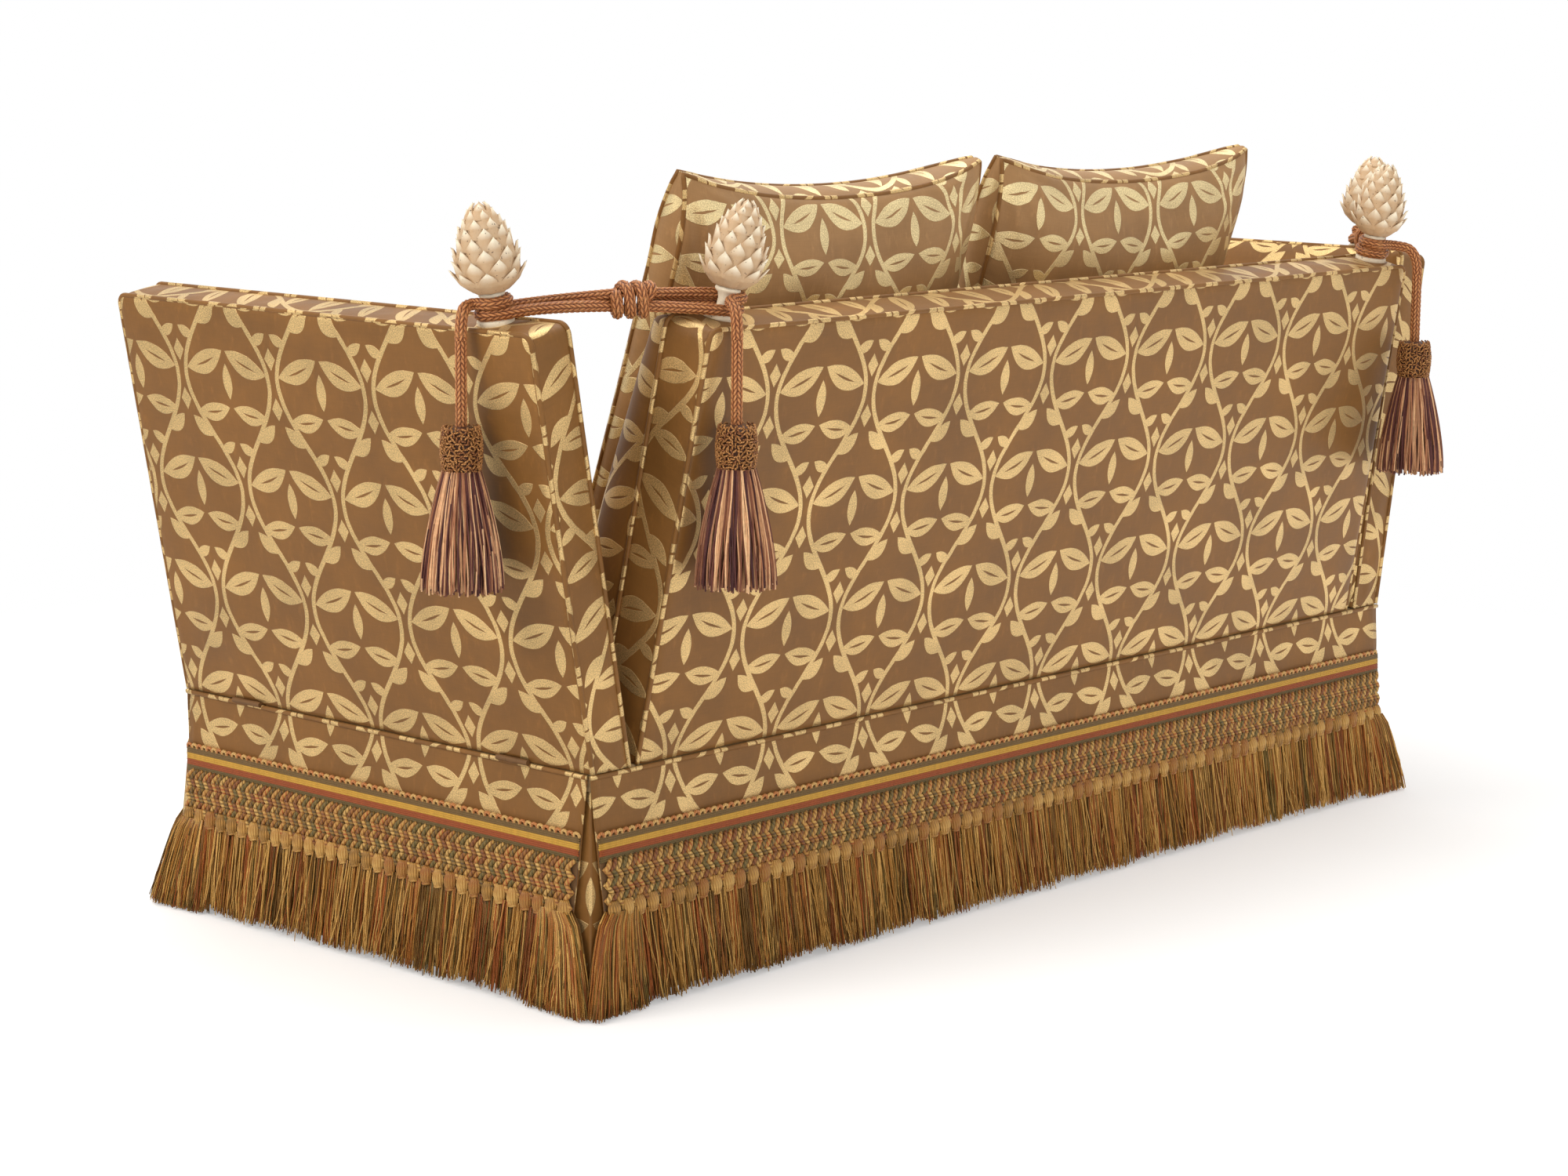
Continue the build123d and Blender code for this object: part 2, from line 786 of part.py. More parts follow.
def finial(seat, axis, side, name):
    """A disc, a waisted neck and a collar under a cone of overlapping rows of scales."""
    collar_top = finial_neck_top + finial_collar_height
    row_height = (finial_height - collar_top) / (len(row_girth_shares) + 1)
    with BuildPart() as carved:
        with BuildSketch(seat):
            Circle(finial_disc_radius)
        extrude(amount=finial_disc_height)
        with BuildSketch(axis.offset(finial_disc_height / 2)):
            Circle(finial_neck_radius)
        extrude(amount=finial_neck_top)
        with BuildSketch(axis.offset(finial_neck_top)):
            Circle(finial_collar_radius)
        extrude(amount=finial_collar_height)
        for number, share in enumerate(row_girth_shares):
            start = collar_top + number * row_height
            girth = finial_radius * share
            turn = 180 / scales_in_row * (number % 2)
            lip = start + row_height * row_lip_share
            root_ring = scale_ring(axis.offset(start), girth * row_root_share, turn)
            lip_ring = scale_ring(axis.offset(lip), girth, turn)
            top_ring = scale_ring(axis.offset(start + row_height), girth * row_top_share, turn)
            loft(sections=[root_ring, lip_ring], ruled=True)
            loft(sections=[lip_ring, top_ring], ruled=True)
        tip_start = collar_top + len(row_girth_shares) * row_height
        tip_ring = scale_ring(axis.offset(tip_start), finial_radius * row_girth_shares[-1] * row_top_share, 0)
        loft(sections=[tip_ring, scale_ring(axis.offset(finial_height), finial_radius * tip_share, 0)], ruled=True)
        if side < 0:
            mirror(about=Plane.YZ, mode=Mode.REPLACE)
    keep(carved, name)


def scale_ring(plane, girth, turn):
    """Outline of a row of flat scales at one level, turned about the finial's axis."""
    with BuildSketch(plane) as ring:
        RegularPolygon(girth, scales_in_row, rotation=turn)
    return ring.sketch


# Cords and tassels


def corner_radii(points):
    """Radius of each corner of a cord's route: as large as its two runs allow."""
    places = [Vector(*point) for point in points]
    radii = []
    for before, corner, after in zip(places, places[1:], places[2:]):
        turn = radians((corner - before).get_angle(after - corner))
        run = min((corner - before).length, (after - corner).length)
        radii.append(run_share * run / tan(turn / 2))
    return radii


def cord(points, side, name):
    """A cord along straight runs joined by tangent arcs; points are given for the right side."""
    route_points = [(side * x, y, z) for x, y, z in points]
    radii = corner_radii(route_points)
    with BuildPart() as rope:
        with BuildLine() as route:
            if radii:
                FilletPolyline(*route_points, radius=radii)
            else:
                Line(*route_points)
        path = route.wires()[0]
        with BuildSketch(Plane(origin=path @ 0, z_dir=path % 0)) as outline:
            RegularPolygon(rope_radius, rope_sides)
        sweep(path=path)
    section = outline.sketch.area
    print(name, "radii", [round(radius, 1) for radius in radii], "length", round(path.length, 1),
          "volume share", round(rope.part.volume / section / path.length, 4))
    return rope.part


def neck_points(seat, axis, corners, level):
    """World places of route corners round a finial's neck, on a level of its seat."""
    lean = seat.to_local_coords(axis.from_local_coords((0, 0, level)))
    return [tuple(seat.from_local_coords((lean.X + x, lean.Y + y, level))) for x, y in corners]


def knot_middle(side):
    """Centre of a knot, its direction from back to arm, and the level direction across it."""
    start = back_axis(side).from_local_coords((0, 0, upper_level))
    end = arm_top().from_local_coords((0, 0, upper_level))
    ahead = Vector(end.X - start.X, end.Y - start.Y, 0)
    middle = Vector(start.X, start.Y, 0) + ahead * knot_share + Vector(0, 0, knot_level)
    ahead = ahead.normalized()
    return middle, ahead, Vector(-ahead.Y, ahead.X, 0)


def bight(seat, axis, middle, reach, knot_ends):
    """Route of a doubled cord: from a knot, once round a finial's neck and back to the knot."""
    local = seat.to_local_coords(middle)
    ahead = Vector(local.X, local.Y, 0).normalized()
    across = Vector(-ahead.Y, ahead.X, 0)
    side_half = wrap_half * bight_ease_share
    corners = []
    for forward, sideways in ((reach, side_half * reach_narrow_share), (-wrap_half, side_half)):
        spot = ahead * forward + across * sideways
        corners.append((spot.X, spot.Y))
    for forward, sideways in ((-wrap_half, -side_half), (reach, -side_half * reach_narrow_share)):
        spot = ahead * forward + across * sideways
        corners.append((spot.X, spot.Y))
    return [knot_ends[0]] + neck_points(seat, axis, corners, lower_level) + [knot_ends[1]]


def hanging_points(seat, edge, splay):
    """Where a tassel's cord turns down past the outer edge, where it ends, and where the next hangs."""
    lean = seat.z_dir.cross(Vector(0, 0, 1)).length
    out = edge + (hang_out - upper_level * lean) / seat.z_dir.Z
    bend = seat.from_local_coords((out, -wrap_half - splay, upper_level))
    swing = bend - Vector(0, 0, bend_leg)
    return tuple(bend), tuple(swing + Vector(0, 0, rope_radius + rope_rest)), tuple(swing)


def arm_hang():
    return hanging_points(arm_top(), arm_finial_from_edge, arm_cord_splay)


def back_hang(side):
    return hanging_points(back_top(side), back_finial_from_edge, back_cord_splay)


def tie_cord(side):
    """Cords on the back finial: one from the knot round the neck to the tassel, and one doubled."""
    middle, ahead, across = knot_middle(side)
    end = middle - ahead * knot_half_length
    tucked = end + ahead * strand_tuck
    up = Vector(0, 0, strand_spread)
    seat = back_top(side)
    bend, drop, swing = back_hang(side)
    corners = [(-wrap_half, wrap_half), (wrap_half, wrap_half), (wrap_half, -wrap_half)]
    single = [tuple(tucked + up)] + neck_points(seat, back_axis(side), corners, upper_level) + [bend, drop]
    ends = [tuple(tucked - up + across * strand_spread), tuple(tucked - up - across * strand_spread)]
    double = bight(seat, back_axis(side), middle, 2 * wrap_half, ends)
    name = f"tie_cord_{side_name(side)}"
    knot_end = Plane(origin=(side * end.X, end.Y, end.Z), z_dir=(side * ahead.X, ahead.Y, 0))
    with BuildPart() as node:
        for number, route in enumerate((single, double)):
            add(cord(route, side, f"{name} {number + 1}"))
        split(bisect_by=knot_end, keep=Keep.BOTTOM)
        add(knot(side))
        with BuildSketch(knot_end):
            Circle(knot_winding_radius - rope_radius - running_gap)
        extrude(amount=2 * knot_half_length)
    keep(node, name)


def knot(side):
    """The knot's winding round the strands, climbing along the cord."""
    middle, ahead, across = knot_middle(side)
    start = middle - ahead * (knot_turns * knot_pitch / 2)
    up = Vector(0, 0, 1)
    points = []
    for step in range(4 * knot_turns + 1):
        around = (across, up, -across, -up)[step % 4]
        beside = (up, -across, -up, across)[step % 4]
        climb = ahead * (knot_pitch * step / 4)
        points.append(tuple(start + climb + (around + beside) * knot_winding_radius))
    return cord(points, side, f"knot_{side_name(side)}")


def tie_loop(side):
    """The doubled cord from the knot round the arm finial's neck."""
    middle, ahead, across = knot_middle(side)
    end = middle + ahead * knot_half_length
    tucked = end - ahead * strand_tuck
    up = Vector(0, 0, strand_spread)
    route = bight(arm_top(), arm_top(), middle, loop_reach, [tuple(tucked + up), tuple(tucked - up)])
    name = f"tie_loop_{side_name(side)}"
    with BuildPart() as node:
        add(cord(route, side, name))
        knot_end = Plane(origin=(side * end.X, end.Y, end.Z), z_dir=(side * ahead.X, ahead.Y, 0))
        split(bisect_by=knot_end, keep=Keep.TOP)
    keep(node, name)


def arm_cord(side):
    """The tassel's cord: once round the arm finial's neck and out over the arm's edge."""
    bend, drop, swing = arm_hang()
    corners = [(-wrap_half, -wrap_half / 2), (-wrap_half, wrap_half), (wrap_half, wrap_half), (wrap_half, -wrap_half)]
    route = neck_points(arm_top(), arm_top(), corners, upper_level) + [bend, drop]
    name = f"arm_cord_{side_name(side)}"
    with BuildPart() as node:
        add(cord(route, side, name))
    keep(node, name)


def hanging_cord(top, side, name):
    """The straight cord that carries a tassel, rounded above so that it can swing."""
    with BuildPart() as node:
        add(cord([top, (top[0], top[1], top[2] - cord_drop)], side, name))
        with Locations((side * top[0], top[1], top[2])):
            Sphere(rope_radius)
    keep(node, name)


def tassel(top, side, name):
    """A netted head and the bell of strands under it, hanging plumb below a place."""
    x, y, z = side * top[0], top[1], top[2] - cord_drop
    neck = z - tassel_head_height
    foot = neck - tassel_skirt_height
    with BuildPart() as bell:
        with BuildSketch(Plane(origin=(x, y, 0), x_dir=(1, 0, 0), z_dir=(0, -1, 0))):
            with BuildLine():
                Polyline(
                    (0, z),
                    (tassel_waist_radius, z),
                    (tassel_head_radius, z - tassel_round),
                    (tassel_head_radius, neck + tassel_round),
                    (tassel_waist_radius, neck),
                    (tassel_skirt_top_radius, neck),
                    (tassel_skirt_radius, foot),
                    (0, foot),
                    close=True,
                )
            make_face()
        revolve(axis=Axis((x, y, 0), (0, 0, 1)))
    keep(bell, name)


# Cushions


def drawn_panel(plane, width, height, taper, draws):
    """A cushion's face, whose foot, sides and head draw in between its corners."""
    foot_draw, side_draw, head_draw = draws
    x = width / 2
    y = height / 2
    with BuildSketch(plane) as panel:
        with BuildLine():
            if foot_draw:
                ThreePointArc((-x, -y), (0, foot_draw - y), (x, -y))
            else:
                Line((-x, -y), (x, -y))
            ThreePointArc((x, -y), (x - taper / 2 - side_draw, 0), (x - taper, y))
            ThreePointArc((x - taper, y), (0, y - head_draw), (taper - x, y))
            ThreePointArc((taper - x, y), (side_draw + taper / 2 - x, 0), (-x, -y))
        make_face()
    return panel.sketch


def crown_radius(width, crown):
    """Radius of the ball whose cap is a crown high and as wide as a cushion."""
    return (width * width / 4 + crown * crown) / (2 * crown)


def seat_cushion(side):
    """Boxed cushion on the deck, crowned above and flat below. Returns the top of its rear edge."""
    width = inner_half_length - seat_cushion_to_arm - soft_gap
    rear = back_pad_foot_y - seat_cushion_to_arm
    front = -half_depth - seat_cushion_overhang
    centre = Vector(side * (soft_gap + width / 2), (rear + front) / 2, deck_height + soft_gap)
    height = seat_cushion_edge + seat_cushion_crown
    dome = crown_radius(width, seat_cushion_crown)
    outline = drawn_panel(Plane(origin=centre), width, rear - front, 0, [seat_cushion_draw] * 3)
    with BuildPart() as cushion:
        extrude(outline, amount=height)
        with Locations(centre + Vector(0, 0, height - dome)):
            Sphere(dome, mode=Mode.INTERSECT)
    keep(cushion, f"seat_cushion_{side_name(side)}")
    half_way = (rear - front) / 2 - seat_cushion_draw
    fall = dome - (dome * dome - half_way * half_way) ** 0.5
    return centre + Vector(0, half_way, height - fall)


def back_cushion(side, seat_edge, pad_part):
    """Boxed cushion that stands on a seat cushion and leans on the back's padding."""
    pad = back_face().offset(-skin - back_boxing)
    taper = (back_pad_foot - back_pad_head) / back_slope
    foot = pad.from_local_coords((0, 0, back_pad_crown - back_cushion_sink - back_pad_foot))
    middle_x = back_cushion_shift + side * (soft_gap + back_cushion_width / 2)
    rear = Plane(origin=(middle_x, foot.Y, foot.Z), x_dir=(1, 0, 0), z_dir=pad.y_dir * taper - pad.z_dir)
    climb = rear.to_local_coords(seat_edge).Y + soft_gap
    centre = rear.from_local_coords((0, climb + back_cushion_height / 2, 0))
    plane = Plane(origin=centre, x_dir=rear.x_dir, z_dir=rear.z_dir)
    dome = crown_radius(back_cushion_width, back_cushion_crown)
    with BuildPart() as cushion:
        draws = (0, back_cushion_draw, back_cushion_dip)
        outline = drawn_panel(plane, back_cushion_width, back_cushion_height, back_cushion_taper, draws)
        extrude(outline, amount=back_cushion_thickness)
        with Locations(plane.from_local_coords((0, 0, dome))):
            Sphere(dome, mode=Mode.INTERSECT)
        with Locations(plane.from_local_coords((0, 0, back_cushion_thickness - dome))):
            Sphere(dome, mode=Mode.INTERSECT)
        add(pad_part.moved(Location((0, -soft_gap, soft_gap))), mode=Mode.SUBTRACT)
    keep(cushion, f"back_cushion_{side_name(side)}")


def build():
    back_outer_panel()
    back_border()
    back_frame()
    back_webbing()
    pad_part = back_inner_pad()
    base_rails()
    corner_blocks()
    feet()
    seat_webbing()
    deck_pad()
    hinge_pins()
    skirts_and_trims()
    corner_pleats()
    for side in (1, -1):
        word = side_name(side)
        side_rail(side)
        hinges(side)
        arm_outer_panel(side)
        arm_border(side)
        arm_frame(side)
        arm_inner_pad(side)
        finial(arm_top(), arm_top(), side, f"arm_finial_{word}")
        finial(back_top(side), back_axis(side), side, f"back_finial_{word}")
        tie_cord(side)
        tie_loop(side)
        arm_cord(side)
        hanging_cord(arm_hang()[2], side, f"arm_tassel_cord_{word}")
        tassel(arm_hang()[2], side, f"arm_tassel_{word}")
        hanging_cord(back_hang(side)[2], side, f"back_tassel_cord_{word}")
        tassel(back_hang(side)[2], side, f"back_tassel_{word}")
        back_cushion(side, seat_cushion(side), pad_part)


build()
hanging = ("arm_tassel", "back_tassel")
boxes = [piece.bounding_box() for piece in pieces if not piece.label.startswith(hanging)]
shift = -(min(box.min.Y for box in boxes) + max(box.max.Y for box in boxes)) / 2
print("moved along Y by", shift)
for side in (1, -1):
    middle, ahead, across = knot_middle(side)
    for name, place in (
        ("arm hang", arm_hang()[2]),
        ("back hang", back_hang(side)[2]),
        ("loop", tuple(middle + ahead * knot_half_length)),
    ):
        print(side_name(side), name, round(side * place[0], 3), round(place[1] + shift, 3), round(place[2], 3))
os.makedirs("parts", exist_ok=True)
for piece in pieces:
    placed = piece.moved(Location((0, shift, 0)))
    placed.label = piece.label
    export_step(placed, f"parts/{piece.label}.step")
    box = placed.bounding_box()
    print(piece.label, len(placed.solids()), round(placed.volume), box.min, box.max)
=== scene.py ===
from functools import partialmethod
from math import cos, pi, radians, sin, tau

import bmesh
import bpy
import numpy as np
from mathutils import Matrix, Vector

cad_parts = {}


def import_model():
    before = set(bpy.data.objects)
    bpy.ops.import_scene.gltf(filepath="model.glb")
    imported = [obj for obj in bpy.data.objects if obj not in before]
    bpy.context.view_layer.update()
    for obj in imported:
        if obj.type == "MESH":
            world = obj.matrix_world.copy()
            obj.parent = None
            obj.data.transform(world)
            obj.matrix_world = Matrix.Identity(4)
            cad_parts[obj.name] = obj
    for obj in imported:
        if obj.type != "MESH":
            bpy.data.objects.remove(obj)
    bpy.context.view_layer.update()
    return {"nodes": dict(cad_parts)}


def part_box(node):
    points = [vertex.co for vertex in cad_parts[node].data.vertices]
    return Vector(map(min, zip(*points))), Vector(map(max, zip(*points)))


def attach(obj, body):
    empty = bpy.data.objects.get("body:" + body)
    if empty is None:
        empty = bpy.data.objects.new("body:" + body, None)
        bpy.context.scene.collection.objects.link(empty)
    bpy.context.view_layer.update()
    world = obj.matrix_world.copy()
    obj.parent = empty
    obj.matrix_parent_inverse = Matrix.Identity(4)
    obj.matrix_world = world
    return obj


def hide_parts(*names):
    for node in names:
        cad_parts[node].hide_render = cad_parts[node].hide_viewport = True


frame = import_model()

# Metres. Right is +X, the sitter faces -Y, and the photograph looks at the rear right corner.

# Places and sizes that the CAD model has
BASE_Y = -0.046533
SEAM = 0.325
ARM_TILT = radians(10.75)
BACK_TILT = radians(10.4)
CUSHION_TILT = radians(17.5)
HALF_LENGTH = 0.95
HALF_DEPTH = 0.425
RISE = 0.59
BACK_HALVES = (0.8585, 0.8335)
CORNER = 0.014
WELT = 0.0036
ARM_DEPTHS = (0.004, 0.071)
BACK_DEPTHS = (0.004, 0.084)
TRIM_TOP = 0.245
TRIM_BOTTOM = 0.134
HEM = 0.014
FLARE_HEIGHTS = (0.010, 0.134, 0.245, 0.325)
FLARE_OUTS = (0.027, 0.014, 0.006, 0.0)
ROPE = 0.015
SIDES = ("right", "left")

# Width of cloth round a piping, and a quad's corners in rows and columns
PIPING_GIRTH = 0.022
QUAD = ((0, 0), (0, 1), (1, 1), (1, 0))


def sign(side):
    return 1 if side == "right" else -1


# Meshes


def link(name, data):
    made = bpy.data.objects.new(name, data)
    bpy.context.scene.collection.objects.link(made)
    return made


class Shape:
    """Points, faces and face-corner UVs, gathered before they become one mesh."""

    def __init__(self):
        self.points, self.faces, self.uvs = [], [], []
        self.count = 0

    def add(self, points, faces, uvs):
        """Faces are rows of point numbers; uvs has one pair for each of their corners."""
        self.points.append(points.reshape(-1, 3))
        self.faces.append(faces + self.count)
        self.uvs.append(uvs)
        self.count += len(self.points[-1])

    def grid(self, points, uv, closed=False):
        """A sheet of quads over rows of points; closed joins each row's end to its start."""
        points, uv = np.array(points), np.array(uv)
        rows, columns = points.shape[:2]
        row, column = np.mgrid[:rows - 1, :columns - 1 + closed]
        quads = [(row + i) * columns + (column + j) % columns for i, j in QUAD]
        corners = [uv[row + i, column + j] for i, j in QUAD]
        self.add(points, np.stack(quads, -1).reshape(-1, 4), np.stack(corners, -2).reshape(-1, 4, 2))

    def caps(self, first, ring, *hues):
        """Faces over the ring of points that starts at number first, and over the last ring."""
        for start, way, hue in zip((first, self.count - ring), (-1, 1), hues):
            self.faces.append(np.arange(start, start + ring)[None, ::way])
            self.uvs.append(np.full((1, ring, 2), hue))

    def make(self, name, material):
        mesh = bpy.data.meshes.new(name)
        points, uvs = (np.concatenate([part.ravel() for part in parts]) for parts in (self.points, self.uvs))
        loops = np.concatenate([faces.ravel() for faces in self.faces]).astype(np.int32)
        totals = np.concatenate([np.full(len(faces), faces.shape[1], np.int32) for faces in self.faces])
        starts = np.cumsum(totals, dtype=np.int32) - totals
        mesh.vertices.add(len(points) // 3)
        mesh.loops.add(len(loops))
        mesh.polygons.add(len(totals))
        for items, key, values in ((mesh.vertices, "co", points), (mesh.loops, "vertex_index", loops),
                                   (mesh.polygons, "loop_start", starts), (mesh.polygons, "loop_total", totals),
                                   (mesh.polygons, "use_smooth", totals > 0)):
            items.foreach_set(key, values)
        mesh.uv_layers.new(name="UVMap").data.foreach_set("uv", uvs)
        mesh.update(calc_edges=True)
        mesh.validate()
        mesh.materials.append(material)
        return link(name, mesh)


def unit(vectors):
    return vectors / np.maximum(np.linalg.norm(vectors, axis=-1, keepdims=True), 1e-12)


def pairs(u, v):
    return np.stack(np.broadcast_arrays(u, v), -1)


def looped(ring):
    return np.concatenate([ring, ring[:1]])


def along(points):
    """Distances from the start of a line of points."""
    return np.concatenate([[0], np.cumsum(np.linalg.norm(np.diff(points, axis=0), axis=1))])


def resample(points, step=None, count=None):
    """The same line at even steps."""
    reach = along(points)
    places = np.linspace(0, reach[-1], count or max(2, round(reach[-1] / step) + 1))
    return np.stack([np.interp(places, reach, column) for column in points.T], 1)


def rings(points, sides):
    """Directions round a line of points, carried along it without a twist: a ring at each point."""
    ahead = unit(np.gradient(points, axis=0))
    now = np.array((1.0, 0, 0) if abs(ahead[0, 2]) > 0.9 else (0, 0, 1.0))
    across = np.zeros_like(points)
    for number, direction in enumerate(ahead):
        now = now - direction * (now @ direction)
        now = now / np.linalg.norm(now)
        across[number] = now
    turn = (np.arange(sides) * tau / sides)[:, None]
    return across[:, None] * np.cos(turn) + np.cross(ahead, across)[:, None] * np.sin(turn)


def tube(shape, points, radius, sides, hue=None, ends=True):
    """A tube round a line of points; hue numbers its yarn's colour, and cloth has none."""
    points = np.array(points)
    share = np.arange(sides + 1) / sides
    u = share * PIPING_GIRTH if hue is None else hue + 0.01 + 0.98 * share
    start = shape.count
    shape.grid(points[:, None] + rings(points, sides) * np.reshape(radius, (-1, 1, 1)),
               pairs(u, along(points)[:, None]), closed=True)
    if ends:
        shape.caps(start, sides, u[0], u[0])


def smooth_noise(seed, size, spread):
    """Repeatable smooth bumps over a grid, from about -1 to 1."""
    coarse = np.random.default_rng(seed).uniform(-1, 1, [int(count / spread) + 3 for count in size])
    y, x = (np.linspace(0, many - 1.001, count) for many, count in zip(coarse.shape, size))
    fy, fx = (part % 1 * (part % 1) * (3 - 2 * (part % 1)) for part in (y[:, None], x))
    a, b, d, c = (coarse[y.astype(int) + i][:, x.astype(int) + j] for i, j in QUAD)
    return (a * (1 - fx) + b * fx) * (1 - fy) + (c * (1 - fx) + d * fx) * fy


def apply_all(piece):
    """Bakes a piece's modifiers into its mesh."""
    graph = bpy.context.evaluated_depsgraph_get()
    mesh = bpy.data.meshes.new_from_object(piece.evaluated_get(graph))
    piece.modifiers.clear()
    piece.data = mesh


def thicken(piece, thickness):
    """Makes a sheet solid, inwards."""
    modifier = piece.modifiers.new("Thickness", "SOLIDIFY")
    modifier.thickness = thickness
    modifier.offset = -1
    apply_all(piece)
    return piece


def read(items, key):
    out = np.zeros(len(items) * 3)
    items.foreach_get(key, out)
    return out.reshape(-1, 3)


def sheet(name, material, points, uv, centre, thickness):
    """A cloth over rows of points, which faces away from a centre."""
    shape = Shape()
    shape.grid(points, uv)
    piece = shape.make(name, material)
    polygons = piece.data.polygons
    if ((read(polygons, "center") - centre) * read(polygons, "normal")).sum() < 0:
        piece.data.flip_normals()
    return thicken(piece, thickness)


def spread(points):
    """UVs in metres that follow a curved sheet: lengths along its rows and its columns from the middle."""
    wide = np.linalg.norm(np.diff(points, axis=1), axis=2)
    tall = np.linalg.norm(np.diff(points, axis=0), axis=2)
    u = np.concatenate([np.zeros((len(points), 1)), np.cumsum(wide, axis=1)], axis=1)
    v = np.concatenate([np.zeros((1, points.shape[1])), np.cumsum(tall, axis=0)], axis=0)
    return np.stack([u - u[:, u.shape[1] // 2][:, None], v], -1)


def dress(piece, body, slot, *nodes, fill=None):
    """Says what a piece rides on and the CAD nodes it stands for, which it hides; its finish, slot, and how full a
    pad is, fill, are not used.
    """
    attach(piece, body)
    if nodes:
        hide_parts(*nodes)
    return piece


# Materials


class Field:
    """A number that varies over a surface, as a chain of Math nodes."""

    def __init__(self, nodes, socket):
        self.nodes, self.socket = nodes, socket

    def op(self, kind, *others, first=None):
        values = (self if first is None else first, *others)
        return Field(self.nodes, self.nodes.node("Math", dict(enumerate(values)), operation=kind).outputs[0])

    __add__ = __radd__ = partialmethod(op, "ADD")
    __sub__ = partialmethod(op, "SUBTRACT")
    __mul__ = __rmul__ = partialmethod(op, "MULTIPLY")
    __truediv__ = partialmethod(op, "DIVIDE")
    wrap = partialmethod(op, "FLOORED_MODULO")
    size = partialmethod(op, "ABSOLUTE")
    least = partialmethod(op, "MINIMUM")
    most = partialmethod(op, "MAXIMUM")
    cos = partialmethod(op, "COSINE")
    sin = partialmethod(op, "SINE")

    def __rsub__(self, other):
        return self.op("SUBTRACT", self, first=other)

    def clamp(self):
        return self.least(1.0).most(0.0)


def choose(share, low, high):
    """low where share is 0 and high where it is 1."""
    return low + (high - low) * share


def shades(words):
    """sRGB colours, written in hex, as the shader's linear numbers."""
    out = []
    for word in words.split():
        parts = [int(word[place:place + 2], 16) / 255 for place in (0, 2, 4)]
        out.append(tuple(part / 12.92 if part <= 0.04045 else ((part + 0.055) / 1.055) ** 2.4 for part in parts))
    return out


def scaled(colour, share):
    return tuple(min(1, part * share) for part in colour)


class Nodes:
    """A node tree with short ways to make its nodes."""

    def __init__(self, tree):
        self.tree = tree

    def feed(self, socket, value):
        """Links an input to a field or a socket, or gives it a fixed value."""
        value = getattr(value, "socket", value)
        if isinstance(value, bpy.types.NodeSocket):
            self.tree.links.new(value, socket)
        else:
            socket.default_value = value

    def node(self, kind, inputs={}, **settings):
        """A shader node; inputs has what feeds each of them, by name or number."""
        made = self.tree.nodes.new("ShaderNode" + kind)
        for key, value in settings.items():
            setattr(made, key, value)
        for key, value in inputs.items():
            self.feed(made.inputs[key], value)
        return made

    def split(self, vector):
        """A vector's X and Y."""
        return [Field(self, part) for part in self.node("SeparateXYZ", {0: vector}).outputs[:2]]

    def noise(self, vector, scale, detail=3.0, rough=0.55, stretch=None):
        if stretch:
            vector = self.node("Mapping", {0: vector, "Scale": stretch}).outputs[0]
        made = self.node("TexNoise", {"Vector": vector, "Scale": scale, "Detail": detail, "Roughness": rough})
        return Field(self, made.outputs["Fac"])

    def mix(self, share, low, high):
        """A colour between two, each a colour socket or three numbers."""
        low, high = ((*end, 1) if isinstance(end, tuple) else end for end in (low, high))
        return self.node("Mix", {0: share, 6: low, 7: high}, data_type="RGBA").outputs[2]

    def ramp(self, share, places, colours, kind="LINEAR"):
        made = self.node("ValToRGB", {0: share})
        band = made.color_ramp
        band.interpolation = kind
        while len(band.elements) < len(places):
            band.elements.new(0.5)
        for element, place, colour in zip(band.elements, places, colours):
            element.position = place
            element.color = (*colour, 1)
        return made.outputs[0]

    def bands(self, share, words):
        """A colour from even steps."""
        colours = shades(words)
        return self.ramp(share, [number / len(colours) for number in range(len(colours))], colours, "CONSTANT")


class Paint(Nodes):
    """A material on the Principled shader."""

    def __init__(self, name):
        self.material = bpy.data.materials.new(name)
        self.material.use_nodes = True
        super().__init__(self.material.node_tree)
        self.tree.nodes.clear()
        self.shader = self.node("BsdfPrincipled")
        self.output = self.node("OutputMaterial", {0: self.shader.outputs[0]})

    def uv(self):
        """The piece's own UVs, in metres, as a vector socket and its two numbers."""
        place = self.node("UVMap", uv_map="UVMap").outputs[0]
        return place, *self.split(place)

    def position(self):
        return self.node("TexCoord").outputs["Object"]

    def bump(self, height, distance, strength):
        made = self.node("Bump", {"Distance": distance, "Strength": strength, "Height": height})
        self.feed(self.shader.inputs["Normal"], made.outputs[0])

    def put(self, **values):
        """Sets or links the shader's inputs."""
        for key, value in values.items():
            self.feed(self.shader.inputs[key.replace("_", " ")], value)


PATTERN_WIDTH = 0.200
PATTERN_HEIGHT = 0.330
PINCH = 0.0095
STEM = 0.0080
CRISP = 1 / 0.0009

# Leaves of one cell's right half: centre X and Y, angle from level, half length, half width, slit
LEAVES = (
    (0.0450, 0.026, 20, 0.0440, 0.0165, True),
    (0.0400, -0.047, 8, 0.0360, 0.0135, True),
    (0.0310, 0.092, 34, 0.0240, 0.0105, False),
    (0.0215, -0.100, 22, 0.0175, 0.0080, False),
)


